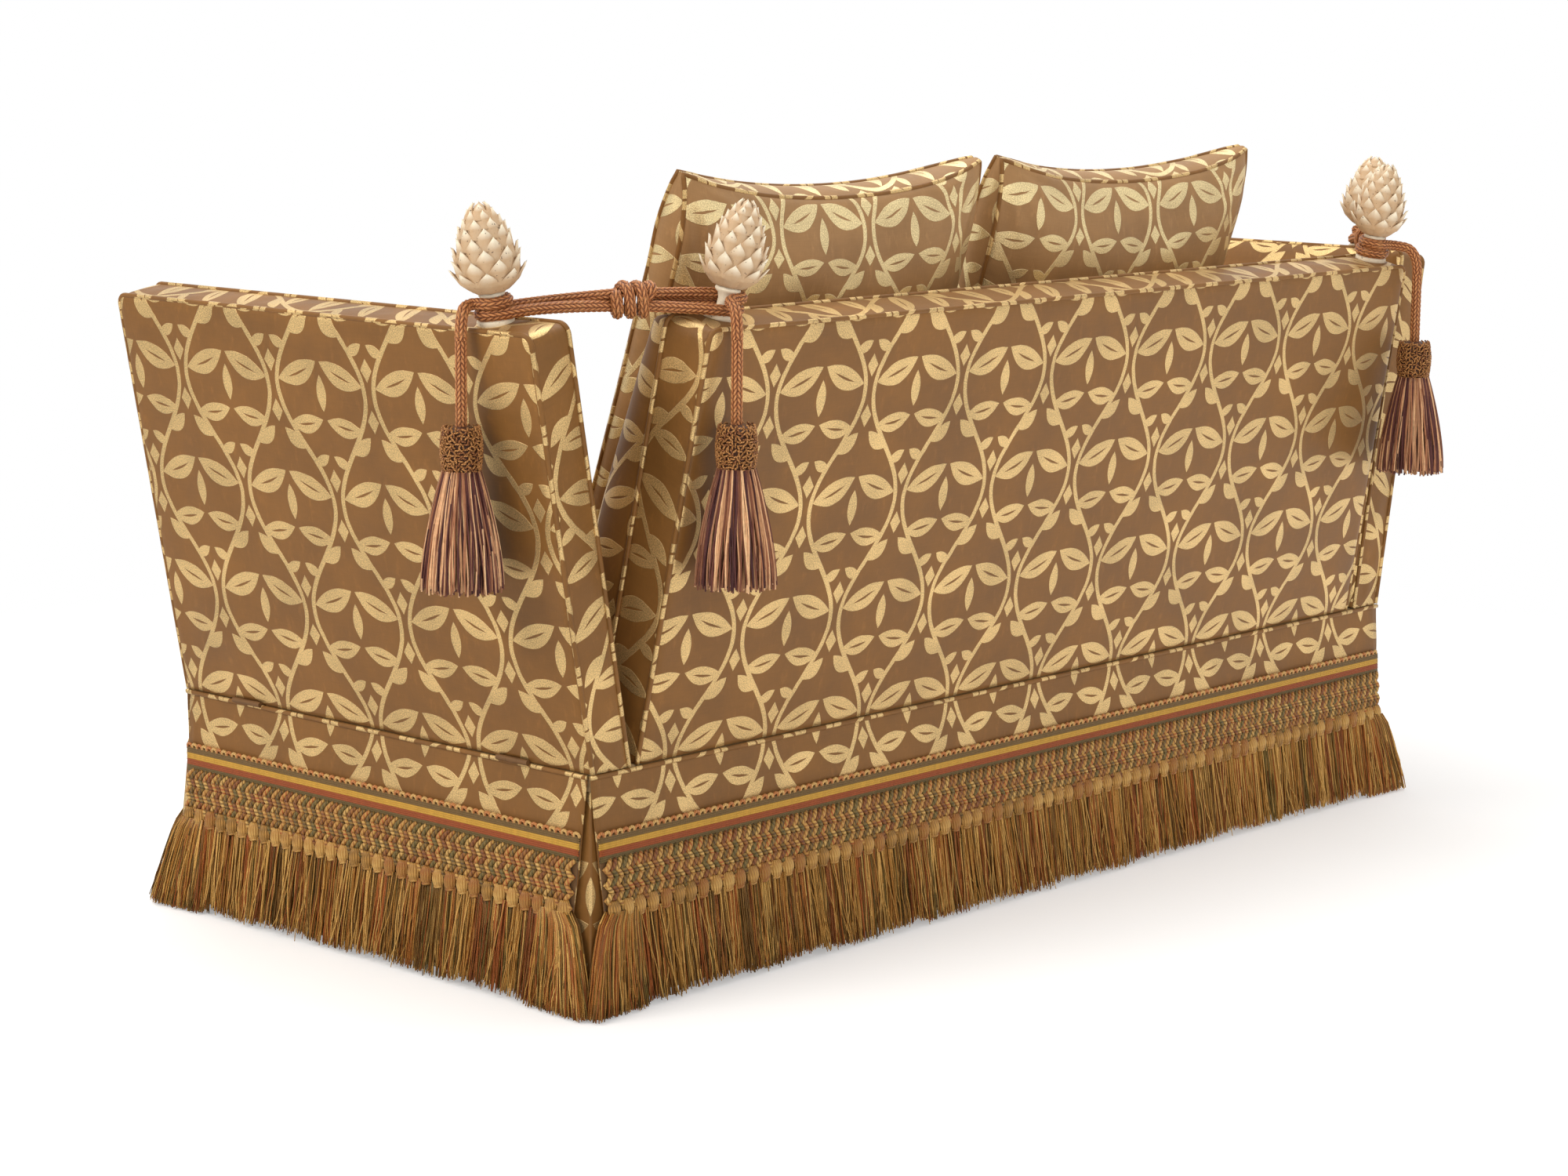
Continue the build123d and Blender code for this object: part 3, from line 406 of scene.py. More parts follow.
def vine_trellis():
    """Node group: gold share of an ogee trellis of vine stems with paired leaves, over UVs in metres."""
    group = bpy.data.node_groups.new("Vine trellis", "ShaderNodeTree")
    group.interface.new_socket("Vector", in_out="INPUT", socket_type="NodeSocketVector")
    group.interface.new_socket("Gold", in_out="OUTPUT", socket_type="NodeSocketFloat")
    nodes = Nodes(group)
    place = group.nodes.new("NodeGroupInput").outputs[0]
    drift = (nodes.noise(place, 45, 2, 0.5) - 0.5) * 0.0022
    x, y = (part + drift for part in nodes.split(place))
    half, height = PATTERN_WIDTH / 2, PATTERN_HEIGHT
    near_x = ((x + half).wrap(2 * half) - half).size()
    near_y = y.wrap(height) - height / 2
    far_x = (x.wrap(2 * half) - half).size()
    far_y = (y + height / 2).wrap(height) - height / 2
    wave = near_y * (tau / height)
    edge = (wave.cos() + 1) * (half / 2 - PINCH) + PINCH
    lean = wave.sin() * (half / 2 - PINCH) * (tau / height)
    slant = (lean * lean + 1).op("SQRT")
    gold = (STEM / 2 - (near_x - edge).size() / slant) * CRISP
    outer = (near_x - edge).op("GREATER_THAN", 0.0)
    u, v = choose(outer, near_x, far_x), choose(outer, near_y, far_y)
    for centre_x, centre_y, angle, length, width, slit in LEAVES:
        c, s = cos(radians(angle)), sin(radians(angle))
        dx, dy = u - centre_x, v - centre_y
        run = (dx * -c + dy * s) / length
        bow = 1 - run * run
        side = (dx * s + dy * c + bow * (width * 0.28)).size()
        leaf = (bow * width - side) * CRISP
        if slit:
            gap = run * 1.8
            leaf = leaf.least(0.5 - ((1 - gap * gap) * 0.0021 - side) * (1 / 0.0008))
        gold = gold.most(leaf)
    rise = (v + 0.004) * (1 / 0.026)
    bud = ((1 - rise * rise) * 0.0095 - u) * CRISP
    tie = (0.0090 - (u * 0.8 + (v.size() - height / 2 + 0.036).size() * 0.55)) * CRISP
    gold = gold.most(bud).most(tie)
    group.links.new((gold + 0.5).clamp().socket, group.nodes.new("NodeGroupOutput").inputs[0])
    return group


TRELLIS = vine_trellis()


def brocade(name, shift, colours="7f5628 d5b47b"):
    """Satin cloth of a brown, with the trellis woven in gold thread. The ground's colour carries painted satin sheen
    in streaks and clouds besides its weave, and the gold's carries painted glints in specks.
    """
    paint = Paint(name)
    brown, gold, glow = shades(f"{colours} ecc896")
    place, _, v = paint.uv()
    moved = paint.node("Mapping", {0: place, "Location": (*shift, 0)}).outputs[0]
    share = Field(paint, paint.node("Group", {0: moved}, node_tree=TRELLIS).outputs[0])
    streak = paint.noise(place, 1.0, 3, 0.6, (900, 60, 1))
    level = paint.noise(place, 1.0, 2, 0.6, (30, 420, 1))
    cloud = paint.noise(place, 8, 4, 0.6)
    speck = paint.noise(place, 560, 2, 0.7)
    nap = paint.noise(place, 1.0, 4, 0.7, (70, 26, 1))
    # Painted sheen: the ground is lighter and darker in streaks and clouds, partly its weave and partly painted satin
    # sheen.
    weave_and_sheen = (cloud - 0.5) * 1.3 + streak * 0.35 + level * 0.25 + (nap - 0.56).clamp() * 2.2 + 0.12
    ground = paint.mix(weave_and_sheen.clamp(), scaled(brown, 0.70), scaled(brown, 1.34))
    # Painted glints: the gold thread is lighter and darker in specks and clouds.
    glint = (speck - 0.5) * 2.8 + 0.5 + (cloud - 0.5) * 1.2
    thread = paint.mix(glint.clamp(), scaled(gold, 0.52), scaled(gold, 1.3))
    paint.put(Base_Color=paint.mix(share, ground, thread), Metallic=share * 0.7,
              Roughness=choose(share, 0.50 + (cloud - 0.5) * 0.3, 0.40 + (speck - 0.5) * 0.35),
              Sheen_Weight=0.09, Sheen_Roughness=0.35, Sheen_Tint=(*glow, 1), Specular_IOR_Level=0.24)
    rib = (v * (tau / 0.0011)).sin()
    paint.bump(share * 0.8 + speck * share * 0.9 + streak * 0.1 + level * 0.1 + rib * 0.05, 0.0005, 0.8)
    return paint.material


def plain_cloth(name, word, thread=0.0012):
    """Plain woven cotton."""
    paint = Paint(name)
    colour, = shades(word)
    place = paint.position()
    cloud = paint.noise(place, 7, 4)
    weave = paint.noise(place, 1 / thread, 2)
    paint.put(Base_Color=paint.mix(cloud * 0.7 + weave * 0.3, scaled(colour, 0.75), scaled(colour, 1.2)),
              Roughness=0.9, Sheen_Weight=0.2)
    paint.bump(weave, 0.0005, 0.6)
    return paint.material


def wood(name, word, gloss):
    """Planed timber with long grain."""
    paint = Paint(name)
    colour, = shades(word)
    place = paint.position()
    grain = paint.noise(place, 9, 6, 0.65, (0.35, 4, 9))
    fine = paint.noise(place, 60, 3, 0.6, (0.6, 6, 9))
    tones = scaled(colour, 0.6), colour, scaled(colour, 1.35)
    paint.put(Base_Color=paint.ramp(grain * 0.7 + fine * 0.3, (0.3, 0.5, 0.7), tones),
              Roughness=grain * 0.25 + (gloss - 0.1))
    paint.bump(fine, 0.0006, 0.4)
    return paint.material


def bronzed(name):
    """Hinge steel in a bronzed finish, so that its knuckles don't show in the seam."""
    paint = Paint(name)
    brushed = paint.noise(paint.position(), 300, 2, 0.5, (1, 0.1, 1))
    paint.put(Base_Color=paint.mix(brushed, *shades("5c3e20 825c34")), Roughness=brushed * 0.25 + 0.5, Metallic=0.35)
    return paint.material


def aged_paint(name):
    """Cream paint over carved wood, brown in its hollows, where V is 0, partly stain and partly painted shade, with
    small worm holes.
    """
    paint = Paint(name)
    place = paint.position()
    v = paint.uv()[2]
    cloud = paint.noise(place, 38, 5, 0.6)
    grain = paint.noise(place, 260, 3, 0.6)
    hole = ((paint.noise(place, 330, 1, 0.3) - 0.72) * 14).clamp()
    # Painted shade: where V is low the paint turns brown, partly a stain and partly painted shade.
    stain_and_shade = ((1 - v).clamp() * 1.15 + cloud * 0.9 - 0.62).clamp()
    cream = paint.mix(grain * 0.6 + cloud * 0.4, *shades("e6d5b5 fef4de"))
    brown = paint.mix(cloud, *shades("a47e54 d4b086"))
    paint.put(Base_Color=paint.mix(hole, paint.mix(stain_and_shade * 0.92, cream, brown), *shades("463022")),
              Roughness=cloud * 0.25 + 0.5)
    paint.bump(grain * 0.6 + cloud * 0.8 - hole * 1.2, 0.0008, 0.7)
    return paint.material


def yarn(name, tones, plies=None, twist=0.005, gloss=0.42, fleck=0.5):
    """Silky yarn: the whole part of U picks each strand's colour, its rest is the place round the strand.

    plies are the colours of the second thread that is twisted in, along V.
    """
    paint = Paint(name)
    place, u, v = paint.uv()
    hue = u.op("FLOOR") * 0.1 + 0.05
    streak = paint.noise(place, 1.0, 2, 0.6, (3.0, 150, 1))
    turn = ((u * 2 + v * (1 / twist)) * tau).sin()
    colour = paint.bands(hue, tones)
    if plies:
        colour = paint.mix((turn * 1.6 + 0.3).clamp(), colour, paint.bands(hue, plies))
    shaded = paint.node("HueSaturation", {"Value": streak * fleck + (1 - fleck * 0.5), "Color": colour})
    paint.put(Base_Color=shaded.outputs[0], Roughness=gloss, Sheen_Weight=0.05, Specular_IOR_Level=0.25)
    paint.bump(turn.size(), 0.0004, 0.6)
    return paint.material


def plait(name):
    """A plaited cord: U is the way along it and V runs from its hollows, 0, to its lobes' tops, 1. Its colour goes
    from near black in the hollows, as painted shade, to light on the tops.
    """
    paint = Paint(name)
    place, _, v = paint.uv()
    thread = paint.noise(place, 1.0, 2, 0.6, (900, 14, 1))
    cloud = paint.noise(place, 1.0, 2, 0.5, (90, 3, 1))
    # Painted shade: the colour is near black in the hollows and light on the lobes' tops.
    colour = paint.ramp(v * 0.85 + thread * 0.3 - 0.12, (0.0, 0.35, 0.7, 1.0),
                        shades("240f06 6e3c1e b47040 dea26a"))
    paint.put(Base_Color=paint.mix(((cloud + thread - 1.12) * 6).clamp() * 0.8, colour, *shades("deac6a")),
              Roughness=0.42, Sheen_Weight=0.05, Specular_IOR_Level=0.25)
    paint.bump(thread, 0.0004, 0.6)
    return paint.material


UPHOLSTERY = brocade("Brocade", (0, 0))
PIPING = brocade("Brocade piping", (0.05, 0.03))
# Painted sheen: the cushions' brocade is the upholstery's, lightened in brown and gold as painted sheen and light on
# the cushions.
CUSHION_LIGHTENED = brocade("Cushion brocade", (0.05, 0.09), "a0794e f0d09c")
LINING = plain_cloth("Lining", "866c50")
ROPE_PAINT = plait("Plaited cord")
FRINGE_PAINT = yarn(
    "Fringe yarn",
    "ae7832 725020 c6964c a45a26 705a26 d8aa5e 825c26 a8682a b8863e 884c1e",
    gloss=0.36, fleck=0.8)
TASSEL_PAINT = yarn(
    "Tassel yarn",
    "e2b082 8c583c 542822 e8ba8a a26a48 60322a c49066 76442e 46201e ae7c58",
    gloss=0.36, fleck=0.8)
# Its first, darkest colour is only for the core under the loops, as painted shade between them.
HEAD_PAINT = yarn("Tassel head yarn", "3e200e 7c4c24 c48e52 60341a",
                  "542e16 b27c42 8c562c a06838", twist=0.003, fleck=0.9)
LATTICE_PAINT = yarn(
    "Lattice cord",
    "c49850 b88a46 cca25c b07e3e be904c 8e6c36 88562a 786232 966432 7e602c",
    "966836 a45c2e 8a6834 86542a a06c36 5c4624 68381a 584a24 6e4220 543c1c",
    twist=0.0060)
# Its last, near-black colour is the strip behind the knots, as painted shade.
KNOT_PAINT = yarn("Knot yarn", "b88c4a a87c3e c49a56 a6763a 2e1c0c",
                  "9c7038 8a642e ac7e40 945e2c 26160a", twist=0.02, fleck=0.9)
BRAID_PAINT = yarn("Braid", "68502a be8e32 8e441e 604e2a",
                   "7a5e34 cc9e42 9c5026 705a32", twist=0.0024, gloss=0.6)
PICOT_PAINT = yarn("Picot", "ac6634 c49656", "c4864e d6ae6c", twist=0.003)
FINIAL_PAINT = aged_paint("Aged cream paint")
BACKING = plain_cloth("Braid backing", "6c4c28", 0.002)


# Arms and back


class Panel:
    """The leaning outer face of an arm or of the back, in whose plane its covers are worked out."""

    def __init__(self, origin, across, out, tilt, halves, depths):
        across, out, up = np.array((across, out, (0, 0, 1)), float)
        self.origin, self.across = np.array(origin), across
        self.up = out * sin(tilt) + up * cos(tilt)
        self.out = out * cos(tilt) - up * sin(tilt)
        self.tilt, self.halves, self.depths = tilt, halves, depths
        self.slope = RISE / cos(tilt)

    def at(self, a, s, d):
        """World points at distances along the face, up it and outwards."""
        a, s, d = (part[..., None] for part in np.broadcast_arrays(a, s, d))
        return self.origin + a * self.across + s * self.up + d * self.out

    def half(self, s):
        """Half its width at a height."""
        return self.halves[0] + (self.halves[1] - self.halves[0]) * s / self.slope

    def foot(self, d):
        """Height up the face at which it meets the seam, at a distance outwards."""
        return (0.0008 + d * sin(self.tilt)) / cos(self.tilt)

    def edge(self, d, pitch=0.008):
        """Open line round its side, top and other side: places along the face and up it."""
        head = self.half(self.slope)
        left = [(-self.half(s), s) for s in np.arange(self.foot(d), self.slope - CORNER, pitch)]
        left += [(-head + CORNER * (1 - cos(t)), self.slope - CORNER + CORNER * sin(t))
                 for t in np.linspace(0, pi / 2, 7)]
        top = [(a, self.slope) for a in np.arange(-head + CORNER + pitch, head - CORNER, pitch)]
        return np.array(left + top + [(-a, s) for a, s in reversed(left)])

    def rows(self, count, foot, shares):
        """Places along the face and up it in rows, and how far each is in from its rounded rim."""
        s = np.concatenate([np.linspace(0, 1, count)[:-1] * (self.slope - CORNER),
                            self.slope - CORNER * (1 - np.sin(np.linspace(0, pi / 2, 8)))])[:, None]
        s[0] = foot
        over = np.clip(s - (self.slope - CORNER), 0, CORNER)
        width = self.half(s) - CORNER + np.sqrt(CORNER ** 2 - over ** 2)
        a = shares * width
        return a, np.broadcast_to(s, a.shape), np.minimum(width - np.abs(a), self.slope - s)

    def outer_cover(self, name, seed):
        """The flat outside cover, softly rolled at its edges and a little full in the middle."""
        shares = np.linspace(-1, 1, 110)
        a, s, inset = self.rows(70, self.foot(0), np.sign(shares) * (1 - (1 - np.abs(shares)) ** 1.25))
        roll = np.clip(inset / 0.012, 0, 1)
        rise = np.clip(np.minimum(inset, s) / 0.16, 0, 1)
        d = -0.004 + 0.004 * np.sqrt(roll * (2 - roll)) + 0.0035 * rise * (2 - rise)
        d = d + 0.0009 * smooth_noise(seed, a.shape, 9) * roll
        return sheet(name, UPHOLSTERY, self.at(a, s, d), pairs(a, s), self.at(0, self.slope / 2, -1), 0.003)

    def boxing(self, name, seed):
        """The strip over its sides and top, from seam to seam, slightly full between them."""
        near, far = self.depths
        levels, columns = 12, 420
        points, uv = [], []
        for share, ripple in zip(np.linspace(0, 1, levels), smooth_noise(seed, (levels, columns), 6)):
            d = -near - (far - near) * share
            line = self.edge(d)
            places = np.linspace(0, along(line)[-1], columns)
            line = resample(line, count=columns)
            full = 4 * share * (1 - share) * (0.0022 + 0.0009 * ripple)
            ahead = unit(np.gradient(line, axis=0))
            line = line + np.c_[-ahead[:, 1], ahead[:, 0]] * full[:, None]
            points.append(self.at(*line.T, d))
            uv.append(pairs(d, places))
        return sheet(name, UPHOLSTERY, points, uv, self.at(0, self.slope / 2, -(near + far) / 2), 0.003)

    def inner_cover(self, name, seed, crown):
        """The padded inside face, from its seam to its crown, whose distances crown gives."""
        a, s, inset = self.rows(60, -0.012, np.sin(np.linspace(-pi / 2, pi / 2, 90)))
        start = -self.depths[1]
        roll = np.clip(inset / 0.045, 0, 1)
        d = start + (crown(a, s / self.slope) - start) * np.sqrt(roll * (2 - roll))
        points = self.at(a, s, d - 0.0015 * smooth_noise(seed, a.shape, 8) * roll)
        return sheet(name, UPHOLSTERY, points, spread(points), self.at(0, self.slope / 2, 1), 0.003)

    def upholster(self, place, side, body, seed, crown):
        """Cover, boxing, inside pad and welts; side is the end of the CAD nodes' names."""
        name = place + side
        for piece, node in ((self.outer_cover(f"{name}_outer_cover", seed), "outer_panel"),
                            (self.boxing(f"{name}_boxing", seed + 1), "border"),
                            (self.inner_cover(f"{name}_inner_cover", seed + 2, crown), "inner_pad")):
            dress(piece, body, "upholstery", f"{place}_{node}{side}", fill=0.9)
        seams = Shape()
        for depth in self.depths:
            tube(seams, self.at(*self.edge(-depth, 0.006).T, -depth), WELT, 10)
        dress(seams.make(f"{name}_welts", PIPING), body, "upholstery")


def arm_crown(a, share):
    full = (1 - (a / HALF_DEPTH) ** 6) * (1 - (2 * share - 1) ** 2)
    return -0.085 - 0.026 * np.clip(full, 0, 1)


def back_crown(a, share):
    share = np.clip(share, 0, 1)
    return -0.080 - (0.125 + (0.050 - 0.125) * share) - 0.012 * 4 * share * (1 - share)


for side in SIDES:
    s = sign(side)
    arm = Panel((s * HALF_LENGTH, BASE_Y, SEAM), (0, 1, 0), (s, 0, 0), ARM_TILT, (HALF_DEPTH, HALF_DEPTH), ARM_DEPTHS)
    arm.upholster("arm", f"_{side}", f"arm_{side}", 11 + 10 * s, arm_crown)
back = Panel((0, BASE_Y + HALF_DEPTH, SEAM), (1, 0, 0), (0, 1, 0), BACK_TILT, BACK_HALVES, BACK_DEPTHS)
back.upholster("back", "", "base_and_back", 41, back_crown)


# Cords

TIE_SINGLE = {
    "right": [(0.8585, 0.3857, 0.9598), (0.74146, 0.42388, 0.95856), (0.74146, 0.46264, 0.95145),
              (0.78086, 0.46264, 0.95145), (0.8047, 0.50375, 0.94391), (0.8047, 0.50375, 0.90391)],
    "left": [(-0.8822, 0.3878, 0.9598), (-0.7793, 0.42388, 0.95856), (-0.7793, 0.46264, 0.95145),
             (-0.8187, 0.46264, 0.95145), (-0.8387, 0.50375, 0.94391), (-0.8387, 0.50375, 0.90391)],
}
TIE_DOUBLE = {
    "right": [(0.8627, 0.3924, 0.9442), (0.80622, 0.43523, 0.94072), (0.75787, 0.46881, 0.93456),
              (0.73485, 0.4327, 0.94119), (0.78665, 0.40453, 0.94636), (0.8545, 0.3791, 0.9442)],
    "left": [(-0.8868, 0.3940, 0.9442), (-0.84182, 0.43295, 0.94114), (-0.79538, 0.46905, 0.93452),
             (-0.77041, 0.4342, 0.94091), (-0.8206, 0.40333, 0.94658), (-0.8777, 0.3814, 0.9442)],
}
KNOT = {
    "right": [(0.8600, 0.3905, 0.953), (0.8570, 0.4035, 0.968), (0.84273, 0.37148, 0.97),
              (0.84645, 0.36918, 0.934), (0.86913, 0.39747, 0.934), (0.87285, 0.39517, 0.97),
              (0.85761, 0.36227, 0.97), (0.86133, 0.35996, 0.934), (0.88401, 0.38825, 0.934),
              (0.88773, 0.38595, 0.97), (0.87248, 0.35305, 0.97), (0.8762, 0.35074, 0.934),
              (0.89888, 0.37904, 0.934), (0.9010, 0.3762, 0.964), (0.8935, 0.3690, 0.957)],
    "left": [(-0.8835, 0.3915, 0.953), (-0.8815, 0.4045, 0.968), (-0.86486, 0.3735, 0.97),
             (-0.86841, 0.37094, 0.934), (-0.89303, 0.39756, 0.934), (-0.89658, 0.395, 0.97),
             (-0.87905, 0.36325, 0.97), (-0.8826, 0.36069, 0.934), (-0.90722, 0.38732, 0.934),
             (-0.91076, 0.38476, 0.97), (-0.89324, 0.35301, 0.97), (-0.89678, 0.35045, 0.934),
             (-0.92141, 0.37707, 0.934), (-0.9240, 0.3740, 0.964), (-0.9165, 0.3665, 0.957)],
}
TIE_LOOP = {
    "right": [(0.8893, 0.3670, 0.9598), (0.96122, 0.29715, 0.95042), (1.03069, 0.24862, 0.93723),
              (1.05344, 0.28526, 0.93291), (0.98055, 0.3283, 0.94675), (0.8893, 0.3670, 0.9442)],
    "left": [(-0.9109, 0.3656, 0.9598), (-0.96276, 0.30177, 0.95013), (-1.02866, 0.24834, 0.93762),
             (-1.05391, 0.28323, 0.93282), (-0.98422, 0.33144, 0.94606), (-0.9109, 0.3656, 0.9442)],
}
ARM_CORD = [(1.00924, 0.26762, 0.95708), (1.00924, 0.29717, 0.95708), (1.04795, 0.29717, 0.94973),
            (1.04795, 0.25777, 0.94973), (1.07901, 0.27077, 0.94384), (1.07901, 0.27077, 0.90384)]
BACK_HANG = {"right": (0.8047, 0.50375, 0.90391), "left": (-0.8387, 0.50375, 0.90391)}
TASSEL_TOP = 0.7929
HIDDEN_CORD = 0.093
STRANDS = 8
PLAIT_COLUMNS = 48
PLAIT_PITCH = 0.0076


def spline_points(points):
    """Points of the smooth NURBS line that has these as its control points."""
    data = bpy.data.curves.new("route", "CURVE")
    data.dimensions = "3D"
    data.resolution_u = 24
    spline = data.splines.new("NURBS")
    spline.points.add(len(points) - 1)
    for spot, point in zip(spline.points, points):
        spot.co = (*point, 1)
    spline.order_u = 3
    spline.use_endpoint_u = True
    line = bpy.data.objects.new("route", data)
    mesh = bpy.data.meshes.new_from_object(line)
    out = read(mesh.vertices, "co")
    bpy.data.objects.remove(line)
    bpy.data.curves.remove(data)
    bpy.data.meshes.remove(mesh)
    return out


def plaited(name, route, body, node):
    """A round plait along a route, whose lobes lean by turns left and right."""
    line = resample(spline_points(route), 0.0010)
    reach = along(line)[:, None]
    turn = np.arange(PLAIT_COLUMNS) / PLAIT_COLUMNS * STRANDS
    column = np.floor(turn)
    local = turn - column - 0.5
    lean = np.where(column % 2 == 0, 1.0, -1.0)
    phase = reach / PLAIT_PITCH + lean * local * 1.1 + column * 0.5
    lobe = np.sqrt(np.abs(np.sin(pi * phase))) * (1 - (2 * np.abs(local)) ** 3 * 0.7)
    radius = ROPE / 2 * (0.76 + 0.32 * lobe)
    shape = Shape()
    # V of the UVs is the lobe's height, which the cord's paint darkens towards the hollows as painted shade.
    shape.grid(line[:, None] + rings(line, PLAIT_COLUMNS) * radius[..., None],
               pairs(reach, np.c_[lobe, lobe[:, :1]]), closed=True)
    shape.caps(0, PLAIT_COLUMNS, 0.6, 0.6)
    piece = dress(shape.make(name, ROPE_PAINT), body, "rope", node)


def mirrored(points, side):
    return [(sign(side) * x, y, z) for x, y, z in points]


def plumb(top, low):
    x, y, z = top
    return [top, (x, y, (2 * z + low) / 3), (x, y, (z + 2 * low) / 3), (x, y, low)]


def tassel(name, x, y, top, body, seed):
    """A netted head of looped yarn and a bell of hanging strands."""
    maker = np.random.default_rng(seed)

    def line_at(radius, turn, z):
        return np.stack([x + radius * np.cos(turn), y + radius * np.sin(turn), z], 1)

    head = Shape()
    girth = 0.0215 + 0.0035 * np.sin(pi * np.linspace(0, 1, 14))
    girth[:2] = 0.012, 0.0195
    # The core under the loops is in the darkest yarn, as painted shade between the loops.
    tube(head, [(x, y, z) for z in np.linspace(top, top - 0.061, 14)], girth, 28, hue=0)
    rows, loops = 16, 27
    spin = np.linspace(-0.4, pi + 0.4, 6)
    for row in range(rows):
        radius = 0.0222 + 0.0034 * sin(pi * (row + 0.5) / rows)
        for number in range(loops):
            turn = tau * (number + 0.5 * (row % 2) + maker.uniform(-0.2, 0.2)) / loops
            lean = maker.uniform(-0.9, 0.9) + (0.8 if (row + number) % 2 else -0.8)
            across = 0.0030 * np.cos(spin)
            z = top - 0.0025 - row * 0.00372 + across * sin(lean) + maker.uniform(-0.0006, 0.0006)
            line = line_at(radius + 0.0022 * np.sin(spin), turn + across * cos(lean) / radius, z)
            tube(head, line, 0.0013, 5, hue=(3, 6, 8, 5, 3, 6)[int(maker.integers(6))])
    neck = top - 0.058
    foot = top - 0.061 - 0.155
    skirt = Shape()
    t = np.linspace(0, 1, 10)
    for inner, outer, count in ((0.014, 0.030, 90), (0.018, 0.038, 130), (0.0215, 0.046, 180), (0.0240, 0.0530, 210)):
        hues = maker.choice(10, count // 2 + 2)[np.arange(count) // 2]
        hues = np.where(maker.uniform(0, 1, count) < 0.7, hues, maker.choice(10, count))
        for number in range(count):
            turn = tau * (number + maker.uniform(-0.5, 0.5)) / count
            low = foot + maker.uniform(-0.0015, 0.009)
            swell = inner + (outer - inner) * (1 - (1 - t) ** 1.6) + maker.uniform(-0.0014, 0.0014)
            wave = turn + maker.uniform(-0.08, 0.08) * t + 0.03 * np.sin(t * 7 + number)
            tube(skirt, line_at(swell, wave, neck + (low - neck) * t), 0.0015, 4, hue=int(hues[number]))
    return [dress(shape.make(f"{name}_{part}", paint), body, "tassel", name)
            for shape, part, paint in ((head, "head", HEAD_PAINT), (skirt, "skirt", TASSEL_PAINT))]


for side in SIDES:
    arm_cord = mirrored(ARM_CORD, side)
    for name, route, body, node, far_end, lay in (
            ("tie_cord_single", TIE_SINGLE[side], "base_and_back", "tie_cord", "object", "taut"),
            ("tie_cord_double", TIE_DOUBLE[side], "base_and_back", "tie_cord", "object", "taut"),
            ("tie_knot", KNOT[side], "base_and_back", "tie_cord", "knot", "coiled"),
            ("tie_loop_cord", TIE_LOOP[side], f"tie_loop_{side}", "tie_loop", "object", "taut"),
            ("arm_wrap_cord", arm_cord, f"arm_{side}", "arm_cord", "object", "hanging")):
        plaited(f"{name}_{side}", route, body, f"{node}_{side}")
    for place, top in (("arm", arm_cord[-1]), ("back", BACK_HANG[side])):
        body = f"{place}_tassel_{side}"
        parts = tassel(body, top[0], top[1], TASSEL_TOP, body, 5 + len(place) + sign(side))
        plaited(f"{place}_hanging_cord_{side}", plumb(top, TASSEL_TOP - HIDDEN_CORD), body,
                f"{place}_tassel_cord_{side}")


# Finials

# Radius and height of the disc, neck, collar and core, then height and radius of the scales' feet
CORE = ((0.0005, 0.0), (0.0245, 0.0), (0.025, 0.002), (0.025, 0.006), (0.0235, 0.008), (0.013, 0.0095),
        (0.011, 0.013), (0.0105, 0.028), (0.0125, 0.035), (0.0165, 0.038), (0.0178, 0.0405), (0.0165, 0.0435),
        (0.0150, 0.045), (0.0175, 0.048), (0.022, 0.052), (0.033, 0.058), (0.036, 0.070), (0.0345, 0.090),
        (0.030, 0.112), (0.023, 0.132), (0.0135, 0.148), (0.006, 0.158), (0.0005, 0.161))
GIRTH = ((0.045, 0.022), (0.050, 0.029), (0.058, 0.0375), (0.072, 0.0415), (0.092, 0.0395), (0.112, 0.0340),
         (0.132, 0.0262), (0.146, 0.0180), (0.157, 0.0100), (0.163, 0.0030), (0.170, 0.0010))
# Height of a row's foot, its scales' length, how many they are, and how far their points stand out
SCALES = ((0.0450, 0.034, 8, 0.0110), (0.0560, 0.038, 8, 0.0102), (0.0710, 0.037, 8, 0.0088),
          (0.0870, 0.035, 8, 0.0074), (0.1030, 0.031, 7, 0.0064), (0.1180, 0.027, 7, 0.0054),
          (0.1310, 0.024, 6, 0.0042), (0.1420, 0.021, 4, 0.0024))


